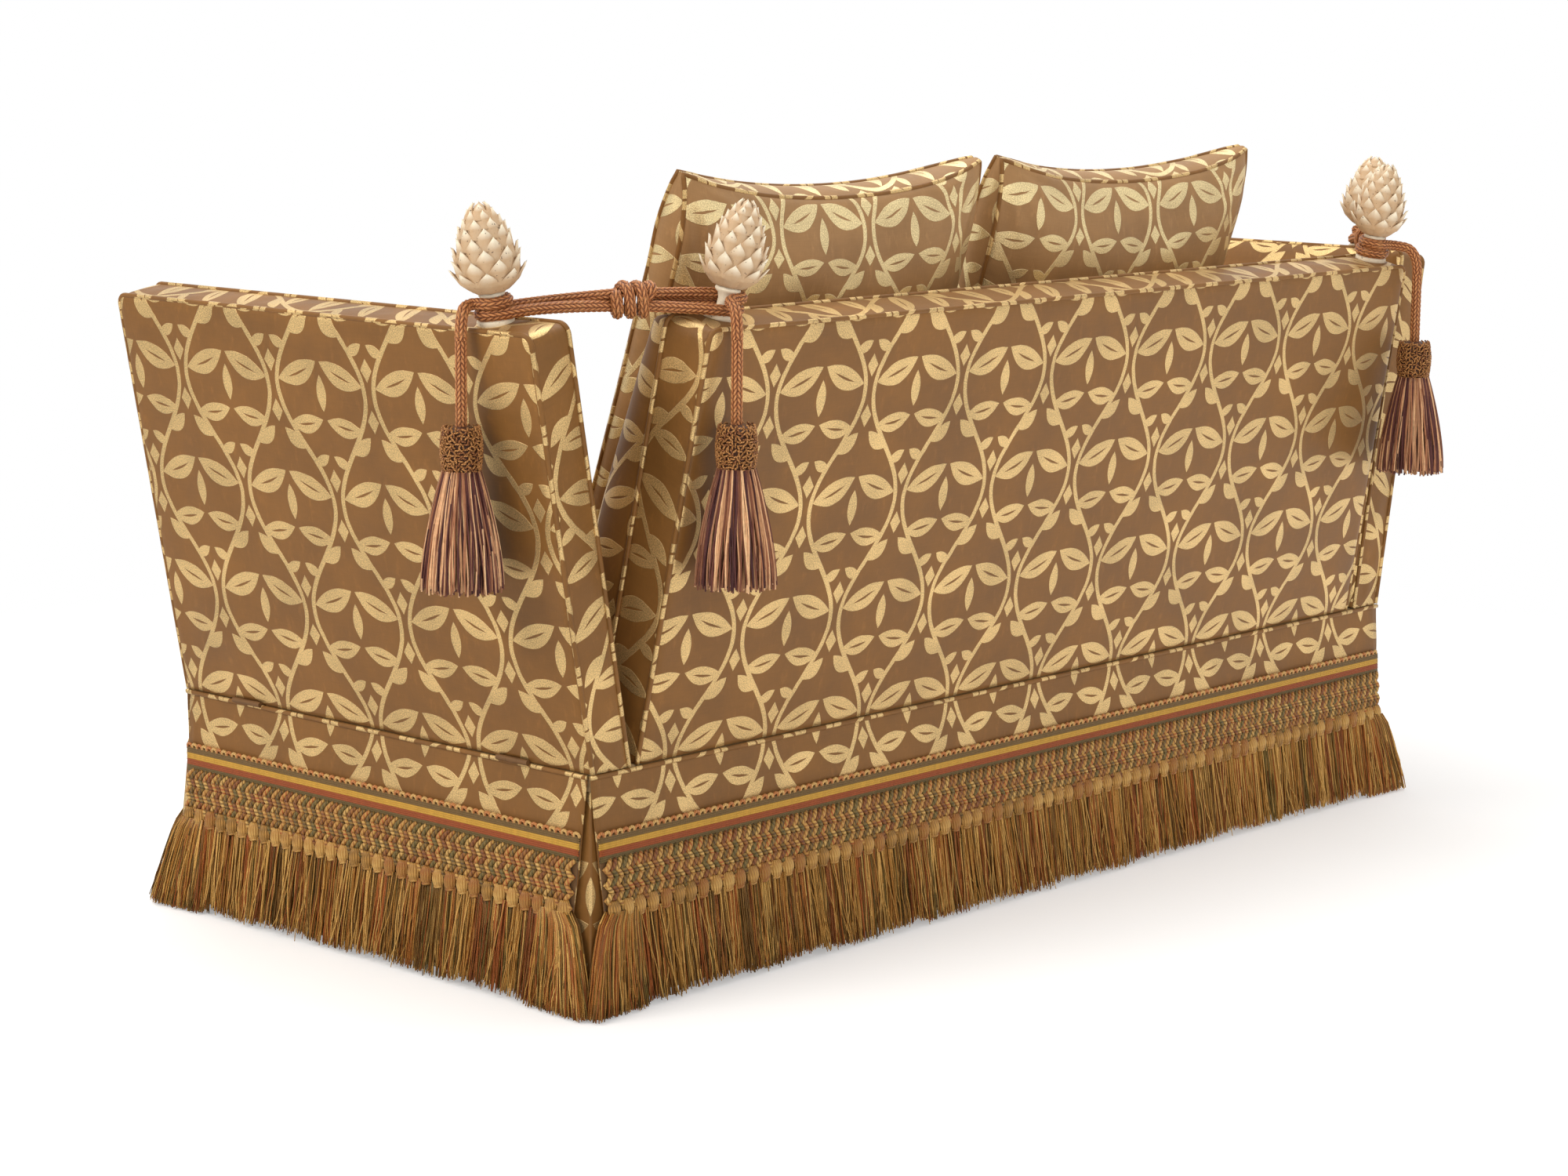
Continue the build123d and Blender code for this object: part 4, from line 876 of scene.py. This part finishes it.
def finial(place, side, origin, z_axis, x_axis, body, slim):
    """A disc, a turned neck and a collar under staggered rows of pointed, keeled scales."""
    origin, z_axis, x_axis = np.array((origin, z_axis, x_axis), float)
    z_axis = unit(z_axis)
    x_axis = unit(x_axis - z_axis * (x_axis @ z_axis))
    y_axis = np.cross(z_axis, x_axis)

    def world(r, turn, h):
        r, turn, h = (part[..., None] for part in np.broadcast_arrays(r, turn, h))
        return origin + r * np.cos(turn) * x_axis + r * np.sin(turn) * y_axis + h * z_axis

    shape = Shape()
    # The core above the collar, seen between the scales, gets V 0.12, which the paint darkens as painted shade; the
    # disc and neck get 0.75.
    r, h = np.array(CORE).T[..., None]
    shape.grid(world(np.where(h < 0.05, r, r * slim), np.arange(48) * tau / 48, h),
               pairs(np.linspace(0, 1, 49), np.where(h < 0.05, 0.75, 0.12)), closed=True)
    heights, radii = np.array(GIRTH).T
    samples = 15
    v = np.linspace(0, 1, samples)[:, None]
    u = np.linspace(-1, 1, samples)
    narrow = 1 - np.clip((v - 0.30) / 0.70, 0, 1) ** 1.45
    ridge = 0.0018 * (1 - np.abs(u)) ** 1.5 * (1 - 0.6 * v)
    # V is low at each scale's foot and sides, which the paint darkens as stain and painted shade, and high at its
    # tip.
    edge = np.clip(2.6 * (v - 0.50) * (1 - 0.30 * u ** 2) - 0.25 * np.abs(u) ** 3, 0, 1)
    uv = pairs(u * 0.5 + 0.5, edge)
    for row, (base, tall, count, lift) in enumerate(SCALES):
        h = base + tall * v - 0.0015 * u ** 2 * v
        r = np.interp(h, heights, slim * radii) + 0.0014 + lift * v ** 2.1 + ridge - 0.0016 * u ** 2
        for number in range(count):
            middle = tau * (number + 0.5 * (row % 2)) / count
            turn = middle + tau / count * 0.58 * narrow * u
            inner = world(np.maximum(r - 0.0032 + 0.0012 * v, 0.0002), middle + (turn - middle) * 0.97, h - 0.0008)
            start = shape.count
            # The scales' undersides get half their V, darker as painted shade.
            shape.grid(np.concatenate([world(r, turn, h), inner[:, ::-1]], axis=1),
                       np.concatenate([uv, uv[:, ::-1] * 0.5, uv[:, :1]], axis=1), closed=True)
            shape.caps(start, 2 * samples, 0.3, 0.9)
    dress(shape.make(f"{place}_finial_carved_{side}", FINIAL_PAINT), body, "finial_timber", f"{place}_finial_{side}")


for side in SIDES:
    s = sign(side)
    finial("arm", side, (s * 1.02272, 0.277467, 0.922461), (s * 0.186524, 0, 0.98245), (s * 0.98245, 0, -0.186524),
           f"arm_{side}", 0.95)
for side, x, z_axis in (("right", 0.765, (-0.121869, 0.179174, 0.97624)), ("left", -0.799, (0, 0.180519, 0.983571))):
    finial("back", side, (x, 0.437574, 0.924026), z_axis, (0, 0.983571, -0.180519), "base_and_back", 0.87)


# Skirts, pleats and trimming

# Of each side: which way it faces, its seam's distance from the middle, length, and middle along Y
SKIRTS = {
    "front": ((0, -1.0), HALF_DEPTH - BASE_Y, 2 * HALF_LENGTH, 0.0),
    "rear": ((0, 1.0), HALF_DEPTH + BASE_Y, 2 * HALF_LENGTH, 0.0),
    "right": ((1.0, 0), HALF_LENGTH, 0.838, BASE_Y),
    "left": ((-1.0, 0), HALF_LENGTH, 0.838, BASE_Y),
}
SOFA_MIDDLE = (0, BASE_Y, SEAM)


def flare(z):
    return np.interp(z, FLARE_HEIGHTS, FLARE_OUTS)


def skirt_point(side, t, z, out=0.0):
    """World points of a side of the skirt: t along it from its middle, at a height, some way outwards."""
    (nx, ny), reach, _, middle = SKIRTS[side]
    t, z, out = np.broadcast_arrays(t, z, out)
    r = reach + flare(z) + out
    return np.stack([nx * r, middle + nx * t, z] if nx else [-ny * t, ny * r, z], -1)


def end_at(side, z):
    """Half length of a side of the skirt at a height: it draws back from the corner towards the floor."""
    return SKIRTS[side][2] / 2 - 0.0005 - 0.012 * np.clip((SEAM - z) / (SEAM - TRIM_BOTTOM), 0, 1)


def skirt(side, seed):
    z = np.linspace(SEAM - 0.0015, HEM, 44)[:, None]
    t = np.linspace(-1, 1, max(60, int(SKIRTS[side][2] / 0.012))) * end_at(side, z)
    out = -0.0006 + 0.0016 * smooth_noise(seed, t.shape, 12) * np.clip((SEAM - z) / 0.06, 0, 1)
    piece = sheet(f"skirt_cloth_{side}", UPHOLSTERY, skirt_point(side, t, z, out), pairs(t, z), SOFA_MIDDLE, 0.0018)
    seam = Shape()
    tube(seam, skirt_point(side, np.linspace(-1, 1, 140) * end_at(side, SEAM), SEAM - 0.004), WELT, 10)
    return piece, seam.make(f"skirt_welt_{side}", PIPING)


def strands(shape, side, positions, top, bottom, out, maker, thickness, hues, loose=1.0, lean=0.0, bow=1.15):
    """Hanging threads in one mesh, each a thin tube with its own colour number."""
    rows, sides = 9, 3
    t = np.linspace(0, 1, rows)
    count = len(positions)

    def some(low, high):
        return maker.uniform(low, high, (count, 1))

    out, bottom, lean = (np.broadcast_to(part, (count,))[:, None] for part in (out, bottom, lean))
    low = bottom + some(-0.001, 0.006)
    waves = some(0, 0.0016) * np.sin(t * some(5, 14) + some(0, tau)) * t * loose
    place = positions[:, None] + some(-0.007, 0.007) * loose * t ** 1.5 + lean * t ** bow + waves
    reach = out + some(0.0, 0.009) * t * loose + waves[::-1]
    lines = skirt_point(side, place, top + (low - top) * t, reach)
    nx, ny = SKIRTS[side][0]
    turn = (np.arange(sides) * tau / sides)[:, None]
    ring = np.array((nx, ny, 0)) * np.cos(turn) + np.array((-ny, nx, 0)) * np.sin(turn)
    skin = lines[:, :, None] + ring * (thickness * np.linspace(1, 0.75, rows))[:, None, None]
    base = (np.arange(count) * rows * sides)[:, None, None]
    row, column = np.mgrid[:rows - 1, :sides]
    quads = np.stack([base + (row + i) * sides + (column + j) % sides for i, j in QUAD], -1)
    uv = np.zeros((*quads.shape, 2))
    uv[..., 0] = (hues + 0.5)[:, None, None, None]
    v = (t * (top - low) + 0.37 * (1 + np.arange(count) % 7)[:, None])[..., None, None]
    uv[..., :2, 1] = v[:, :-1]
    uv[..., 2:, 1] = v[:, 1:]
    ends = shape.count + base[:, :, 0] + np.arange(sides)
    shape.add(skin, quads.reshape(-1, 4), uv.reshape(-1, 4, 2))
    for faces in (ends[:, ::-1], ends + (rows - 1) * sides):
        shape.faces.append(faces)
        shape.uvs.append(np.repeat(hues + 0.5, sides * 2))


def fringe(side, seed):
    """Four layers of silky strands in bunches, a fuller tuft that flares at each end, and strands that stray."""
    maker = np.random.default_rng(seed)
    shape = Shape()
    half = end_at(side, TRIM_BOTTOM)
    for spacing, out in ((0.0030, 0.0010), (0.0026, 0.0036), (0.0024, 0.0060), (0.0024, 0.0080)):
        count = int(2 * half / spacing)
        positions = np.linspace(-half, half, count) + maker.uniform(-0.002, 0.002, count)
        bunch = np.arange(count) // 6
        hues = np.where(maker.uniform(0, 1, count) < 0.55, maker.choice(10, count)[bunch], maker.choice(10, count))
        depth = out + maker.uniform(-0.0012, 0.0020, count)[bunch]
        low = 0.0060 + maker.uniform(0, 0.006, count)[bunch] + 0.0025 * np.sin(positions * 31 + seed)
        strands(shape, side, positions, 0.1335, low, depth, maker, 0.00105, hues)
    for end in (-1, 1):
        for out in (0.000, 0.004, 0.008, 0.012, 0.015):
            inset = maker.uniform(0, 1, 120) ** 1.3
            strands(shape, side, end * (half - 0.002 - 0.055 * inset), 0.139, 0.003, out - 0.004 * inset, maker,
                    0.0012, maker.choice(10, 120), 1.2, end * 0.048 * (1 - inset) ** 1.1, 0.58)
    count = int(half * 150)
    strands(shape, side, maker.uniform(-half, half, count), 0.134, 0.010, 0.0098, maker, 0.0009,
            maker.choice((2, 5, 8), count), 2.8)
    return shape.make(f"fringe_{side}", FRINGE_PAINT)


def gimp(side):
    """Four stripes of three cords each."""
    shape = Shape()
    for hue, z in ((0, 0.2360), (3, 0.2272), (6, 0.2184), (8, 0.2100)):
        half = end_at(side, z)
        t = np.linspace(-half, half, 160)
        for rise in (-0.0028, 0, 0.0028):
            tube(shape, skirt_point(side, t, z + rise, 0.0018), 0.0021, 7, hue=hue)
    return shape.make(f"gimp_{side}", BRAID_PAINT)


def picots(side):
    """The looped edge over the stripes."""
    shape = Shape()
    half = end_at(side, TRIM_TOP)
    spin = np.linspace(-0.3, pi + 0.3, 8)
    for number, place in enumerate(np.arange(-half + 0.005, half - 0.004, 0.0115)):
        line = skirt_point(side, place + 0.0050 * np.cos(spin), 0.2412 + 0.0046 * np.sin(spin),
                           0.0026 + 0.0016 * np.sin(spin))
        tube(shape, line, 0.0022, 7, hue=5 * (number % 2))
    return shape.make(f"picots_{side}", PICOT_PAINT)


def lattice(side, maker):
    """A herringbone of short twisted cords, whose rows lean by turns left and right."""
    shape = Shape()
    half = end_at(side, 0.18)
    pitch, rows, step = 0.0098, 6, 0.0105
    t = np.linspace(-1, 1, 6)
    count = int(2 * half / pitch)
    for row in range(rows):
        way = 1 if row % 2 else -1
        for number in range(count):
            place = -half + 0.008 + number * (2 * half - 0.016) / (count - 1)
            line = skirt_point(side, place + way * t * 0.0064, 0.2010 - row * step - t * 0.0074,
                               0.0046 + 0.0024 * (1 - t ** 2) + 0.0012 * t)
            tube(shape, line, 0.0037 - 0.0008 * t ** 2, 7, hue=int(maker.integers(5)) + 5 * (number % 2))
    return shape.make(f"lattice_{side}", LATTICE_PAINT)


def knots(side, maker):
    """Round bundles of yarn, each bound at its foot, over a near-black strip that is painted shade between them."""
    shape = Shape()
    half = end_at(side, TRIM_BOTTOM)
    # Painted shade: a near-black strip behind and between the knots.
    strip = skirt_point(side, np.linspace(-half, half, 120), np.linspace(0.150, 0.128, 4)[:, None], 0.0056)
    shape.grid(strip, np.full((4, 120, 2), 9.5))
    t = np.linspace(0, 1, 9)
    swell = np.sin(pi * np.clip(0.12 + 0.76 * t, 0, 1)) ** 0.7
    turn = np.linspace(-0.5, pi + 0.5, 9)
    for place in np.linspace(-half + 0.010, half - 0.010, int(2 * half / 0.0245)):
        hue = int(maker.integers(4)) * 2 + 1
        place = place + maker.uniform(-0.001, 0.001)
        for spin in np.linspace(-1.25, 1.25, 7):
            line = skirt_point(side, place + 0.0088 * sin(spin) * swell, 0.1525 - 0.0235 * t,
                               0.0060 + 0.0078 * cos(spin) * swell)
            tube(shape, line, 0.0026, 6, hue=hue)
        line = skirt_point(side, place + 0.0062 * np.cos(turn), 0.1290 + 0.0010 * np.cos(turn),
                           0.0066 + 0.0048 * np.sin(turn))
        tube(shape, line, 0.0024, 6, hue=hue)
    return shape.make(f"knots_{side}", KNOT_PAINT)


def backing(side):
    z = np.linspace(0.243, 0.140, 6)[:, None]
    t = np.linspace(-1, 1, 80) * end_at(side, z)
    return sheet(f"trim_backing_{side}", BACKING, skirt_point(side, t, z, 0.0012), pairs(t, z), SOFA_MIDDLE, 0.0012)


for number, side in enumerate(SKIRTS):
    cloth, piping = skirt(side, 60 + number)
    maker = np.random.default_rng(70 + number)
    under = backing(side)
    trimming = [gimp(side), picots(side), lattice(side, maker), knots(side, maker), under, fringe(side, 80 + number)]
    for piece in (cloth, piping):
        dress(piece, "base_and_back", "upholstery", f"skirt_{side}")
    for piece in trimming:
        dress(piece, "base_and_back", "trimming", f"trim_{side}")


def pleats():
    """Inverted pleats behind the four corners of the skirt."""
    shape = Shape()
    z = np.linspace(0.300, HEM, 26)[:, None]
    out = flare(z) - 0.0072
    fold = 0.070 * np.array((0.05, 0.15, 0.5, 1.0))
    back_x = np.concatenate([np.zeros(5), fold])
    back_y = back_x[::-1]
    for sx in (1, -1):
        for sy in (1, -1):
            x = sx * (HALF_LENGTH + out) - sx * back_x
            y = BASE_Y + sy * (HALF_DEPTH + out) - sy * back_y
            way = -1 if sx * sy > 0 else 1
            points = np.stack(np.broadcast_arrays(x, y, z), -1)
            shape.grid(points[:, ::way], pairs(back_x - back_y, z)[:, ::way])
    piece = thicken(shape.make("corner_pleat_cloth", UPHOLSTERY), 0.0018)
    dress(piece, "base_and_back", "upholstery", "corner_pleats")


pleats()


# Cushions

CLOTH = {"quality": 5, "mass": 0.3, "tension_stiffness": 12, "compression_stiffness": 12, "bending_stiffness": 0.5,
         "use_pressure": True, "uniform_pressure_force": 4, "vertex_group_shrink": "seams", "shrink_max": 0.05}
LAST_FRAME = 20
MOST_SWELLING = 0.013


def rim(grid):
    """The outer ring of a grid."""
    return np.concatenate([grid[0, :-1], grid[:-1, -1], grid[-1, :0:-1], grid[:0:-1, 0]])


def cushion_form(plane, size, taper, draws, crown, edge, pinch, seed):
    """The points of a cushion's two crowned faces, in rows, and of the boxing between their rims.

    The sides draw in between the corners, where the boxing is pinched thin.
    """
    origin, right, up, ahead = np.array(plane, float)
    columns, rows = 62, 56
    u = np.sin(np.linspace(-pi / 2, pi / 2, columns))
    v = np.sin(np.linspace(-pi / 2, pi / 2, rows))[:, None]
    x = u * (size[0] / 2 - taper * (v + 1) / 2 - draws[1] * (1 - v ** 2))
    low = -size[1] / 2 + draws[0] * (1 - u ** 2)
    high = size[1] / 2 - draws[2] * (1 - u ** 2)
    y = low + (high - low) * (v + 1) / 2
    swell = (1 - np.abs(u) ** 2.4) * (1 - np.abs(v) ** 2.4)
    ears = np.abs(u) ** 7 * np.abs(v) ** 7 * np.where(v > 0, pinch[1], pinch[0])
    bumps = smooth_noise(seed, (rows, columns), 6) * 0.005
    corner = np.arctan2(1 - np.abs(v), 1.001 - np.abs(u))
    far = np.hypot(1 - np.abs(u), 1 - np.abs(v))
    creases = 0.0035 * np.sin(corner * 15 + np.sign(u) * 2 + seed) * np.exp(-((far - 0.26) / 0.13) ** 2) * pinch[1]
    faces = []
    for way, full in zip((1, -1), crown):
        depth = way * (edge / 2 * (1 - ears) + full * swell ** 0.5 + bumps * swell + creases)
        faces.append(origin + x[..., None] * right + y[..., None] * up + depth[..., None] * ahead)
    front, rear = (rim(face) for face in faces)
    share = np.linspace(0, 1, 6)[1:-1, None, None]
    gap = np.linalg.norm(front - rear, axis=1)[:, None]
    out = unit(front - origin - ((front - origin) @ ahead)[:, None] * ahead)
    return faces, front * (1 - share) + rear * share + out * (4 * share * (1 - share)) * gap * 0.16


def cushion(name, plane, size, taper, draws, crown, edge, pinch, seed):
    """One closed mesh of a cushion, and the numbers of the points along its two rims."""
    faces, strip = cushion_form(plane, size, taper, draws, crown, edge, pinch, seed)
    shape = Shape()
    rims = []
    for face in faces:
        rims.append(rim(shape.count + np.arange(face[..., 0].size).reshape(face.shape[:2])))
        shape.grid(face, spread(face))
    lines = [rims[0], *(shape.count + np.arange(strip[..., 0].size).reshape(strip.shape[:2])), rims[1]]
    reach = along(looped(rim(faces[0])))
    ends = np.stack([reach[:-1], reach[1:], reach[1:], reach[:-1]], -1)
    quads, uvs = [], []
    for level, (near, far) in enumerate(zip(lines, lines[1:])):
        quads.append(np.stack([near, np.roll(near, -1), np.roll(far, -1), far], -1))
        uvs.append(pairs(np.array((level, level, level + 1, level + 1)) * edge / (len(lines) - 1), ends))
    shape.add(strip, np.concatenate(quads) - shape.count, np.concatenate(uvs))
    piece = shape.make(name, CUSHION_LIGHTENED)
    made = bmesh.new()
    made.from_mesh(piece.data)
    bmesh.ops.recalc_face_normals(made, faces=made.faces)
    made.to_mesh(piece.data)
    made.free()
    return piece, rims


def blow_up(cushions):
    """Swells closed pieces as cloth whose seams are gathered a little, and caps how far a point moves."""
    for piece, rims in cushions:
        group = piece.vertex_groups.new(name="seams")
        group.add(np.concatenate(rims).tolist(), 1.0, "REPLACE")
        settings = piece.modifiers.new("Cloth", "CLOTH").settings
        for key, value in CLOTH.items():
            setattr(settings, key, value)
        settings.effector_weights.gravity = 0
    scene = bpy.context.scene
    for number in range(1, LAST_FRAME + 1):
        scene.frame_set(number)
    graph = bpy.context.evaluated_depsgraph_get()
    for piece, rims in cushions:
        start = read(piece.data.vertices, "co")
        move = read(piece.evaluated_get(graph).data.vertices, "co") - start
        reach = np.linalg.norm(move, axis=1, keepdims=True)
        move *= np.tanh(reach / MOST_SWELLING) * MOST_SWELLING / np.maximum(reach, 1e-9)
        piece.modifiers.clear()
        piece.data.vertices.foreach_set("co", (start + move).ravel())
        piece.data.update()
    scene.frame_set(1)


SOFT = {}
for side in SIDES:
    s = sign(side)
    SOFT[f"seat_cushion_{side}"] = cushion(
        f"seat_cushion_soft_{side}", ((s * 0.42989, -0.15575, 0.442), (1, 0, 0), (0, 1, 0), (0, 0, 1)),
        (0.850, 0.636), 0.0, (0.010, 0.010, 0.010), (0.012, 0.001), 0.126, (0.12, 0.12), 90 + s)
    SOFT[f"back_cushion_{side}"] = cushion(
        f"back_cushion_soft_{side}", ((0.077 + s * 0.3403, 0.2385, 0.8176), (1, 0, 0),
                                      (0, sin(CUSHION_TILT), cos(CUSHION_TILT)),
                                      (0, -cos(CUSHION_TILT), sin(CUSHION_TILT))),
        (0.674, 0.632), 0.012, (0.002, 0.008, 0.034), (0.052, 0.050), 0.050, (0.30, 0.72), 95 + s)
blow_up(list(SOFT.values()))
for name, (piece, rims) in SOFT.items():
    piece.modifiers.new("Smooth", "SUBSURF").levels = 1
    apply_all(piece)
    points = read(piece.data.vertices, "co")
    seams = Shape()
    for ring in rims:
        tube(seams, resample(looped(points[ring]), 0.006), 0.0034, 8, ends=False)
    dress(piece, name, "cushion_cloth", name, fill=0.7)
    dress(seams.make(f"{piece.name}_piping", PIPING), name, "cushion_cloth")


def deck():
    """Plain lined deck, whose front edge is covered in the upholstery cloth as far as a seam."""
    low, high = (np.array(corner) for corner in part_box("deck_pad"))
    front, top, foot = low[1], high[2], SEAM + 0.0005
    section = [(front, foot)]
    section += [(front + 0.018 - 0.018 * cos(t), top - 0.018 + 0.018 * sin(t)) for t in np.linspace(0, pi / 2, 8)]
    section += [(y, top) for y in np.linspace(front + 0.03, front + 0.11, 6)]
    rest = [(y, top) for y in np.linspace(front + 0.11, 0.19, 26)]
    xs = np.linspace(low[0] + 0.001, high[0] - 0.001, 90)
    for name, line, material, slot in (("deck_border", section, UPHOLSTERY, "upholstery"),
                                       ("deck_lining", rest, LINING, "deck_cloth")):
        points = np.array([[(xs[0], y, foot), *((x, y, z - 0.001) for x in xs), (xs[-1], y, foot)] for y, z in line])
        points[..., 2] += 0.0008 * smooth_noise(7, points.shape[:2], 9) * (points[..., 2] > top - 0.01)
        dress(sheet(name, material, points, spread(points), (0, 0, 0), 0.004), "base_and_back", slot, "deck_pad",
              fill=0.8)


deck()


# CAD nodes that stay

TIMBER = wood("Frame timber", "c4a478", 0.5)
FOOT = wood("Dark foot", "342218", 0.4)
JUTE = plain_cloth("Jute webbing", "b0966c", 0.0025)
HINGE = bronzed("Bronzed hinge steel")
for name, node in frame["nodes"].items():
    for words, material in ((("frame_left", "frame_right", "back_frame", "rail", "blocks"), TIMBER),
                            (("feet",), FOOT), (("webbing",), JUTE), (("hinge",), HINGE)):
        if any(word in name for word in words):
            for slot in node.material_slots:
                slot.material = material


# Stage, light and camera

FLOOR_GLOW = 0.34
POOL_GLOW = 0.5
ROOM = 0.55
LAMP_AIM = (0, 0, 0.5)


def stage():
    """A white floor that keeps the sofa's shadow, and fades into a white room away from it. To rays other than the
    camera's it glows, most in a painted pool of light behind the sofa towards its left end.
    """
    mesh = bpy.data.meshes.new("floor")
    mesh.from_pydata([(-30, -30, 0), (30, -30, 0), (30, 30, 0), (-30, 30, 0)], [], [(0, 1, 2, 3)])
    paint = Paint("Floor")
    paint.put(Base_Color=(0.8, 0.8, 0.8, 1), Roughness=0.9, Specular_IOR_Level=0.1)
    mesh.materials.append(paint.material)
    place = paint.position()
    x, y = paint.split(place)
    far = Field(paint, paint.node("VectorMath", {0: place}, operation="LENGTH").outputs["Value"])

    def lit(strength):
        glow = paint.node("Emission", {"Strength": strength}).outputs[0]
        return paint.node("AddShader", {0: paint.shader.outputs[0], 1: glow}).outputs[0]

    clear = paint.node("BsdfTransparent").outputs[0]
    faded = paint.node("MixShader", {0: ((far - 1.5) * 0.8).clamp(), 1: lit(FLOOR_GLOW), 2: clear}).outputs[0]
    # Painted light: a glowing pool on the floor, strongest behind the sofa towards its left end, which the gold
    # thread reflects and which lights the sofa from below.
    pool = ((y - x * 0.6) * 0.8).clamp() * POOL_GLOW + 0.06
    seen = paint.node("LightPath").outputs["Is Camera Ray"]
    final = paint.node("MixShader", {0: seen, 1: lit(pool), 2: faded})
    paint.feed(paint.output.inputs[0], final.outputs[0])
    link("floor", mesh)
    world = bpy.data.worlds.new("Studio")
    bpy.context.scene.world = world
    world.use_nodes = True
    nodes = Nodes(world.node_tree)
    nodes.tree.nodes.clear()
    rays = nodes.node("LightPath").outputs
    room, white = (nodes.node("Background", {0: colour, 1: strength}).outputs[0]
                   for colour, strength in (((1, 0.985, 0.96, 1), ROOM), ((1, 1, 1, 1), 1.0)))
    seen = Field(nodes, rays["Is Camera Ray"]).most(rays["Is Glossy Ray"])
    nodes.node("OutputWorld", {0: nodes.node("MixShader", {0: seen, 1: room, 2: white}).outputs[0]})


def lamp(name, place, size, power, colour=(1, 1, 1)):
    data = bpy.data.lights.new(name, "AREA")
    data.shape = "RECTANGLE"
    data.size, data.size_y = size
    data.energy = power
    data.color = colour
    made = link(name, data)
    made.location = place
    made.rotation_mode = "QUATERNION"
    made.rotation_quaternion = (Vector(LAMP_AIM) - Vector(place)).to_track_quat("-Z", "Y")


def camera():
    azimuth, elevation, roll = radians(132.0587), radians(9.5319), radians(0.517)
    back = Vector((sin(azimuth) * cos(elevation), -cos(azimuth) * cos(elevation), sin(elevation)))
    right = (-back).cross(Vector((0, 0, 1))).normalized()
    up = right.cross(-back)
    turned = right * cos(roll) + up * sin(roll)
    upright = up * cos(roll) - right * sin(roll)
    data = bpy.data.cameras.new("Camera")
    data.sensor_width = 36
    data.lens = 81.47
    made = link("Camera", data)
    eye = Vector((0, -0.13613, 0.4033)) + back * 5.7295
    made.matrix_world = Matrix((*zip(turned, upright, back, eye), (0, 0, 0, 1)))
    bpy.context.scene.camera = made


stage()
lamp("Key", (4.2, -0.9, 3.0), (2.0, 2.0), 90, (1, 0.955, 0.89))
lamp("Rear key", (2.4, 4.3, 2.7), (2.2, 2.2), 46, (0.98, 0.985, 1))
lamp("Top", (-0.4, -0.4, 4.2), (4, 3), 105)
camera()
bpy.context.scene.view_settings.view_transform = "Standard"
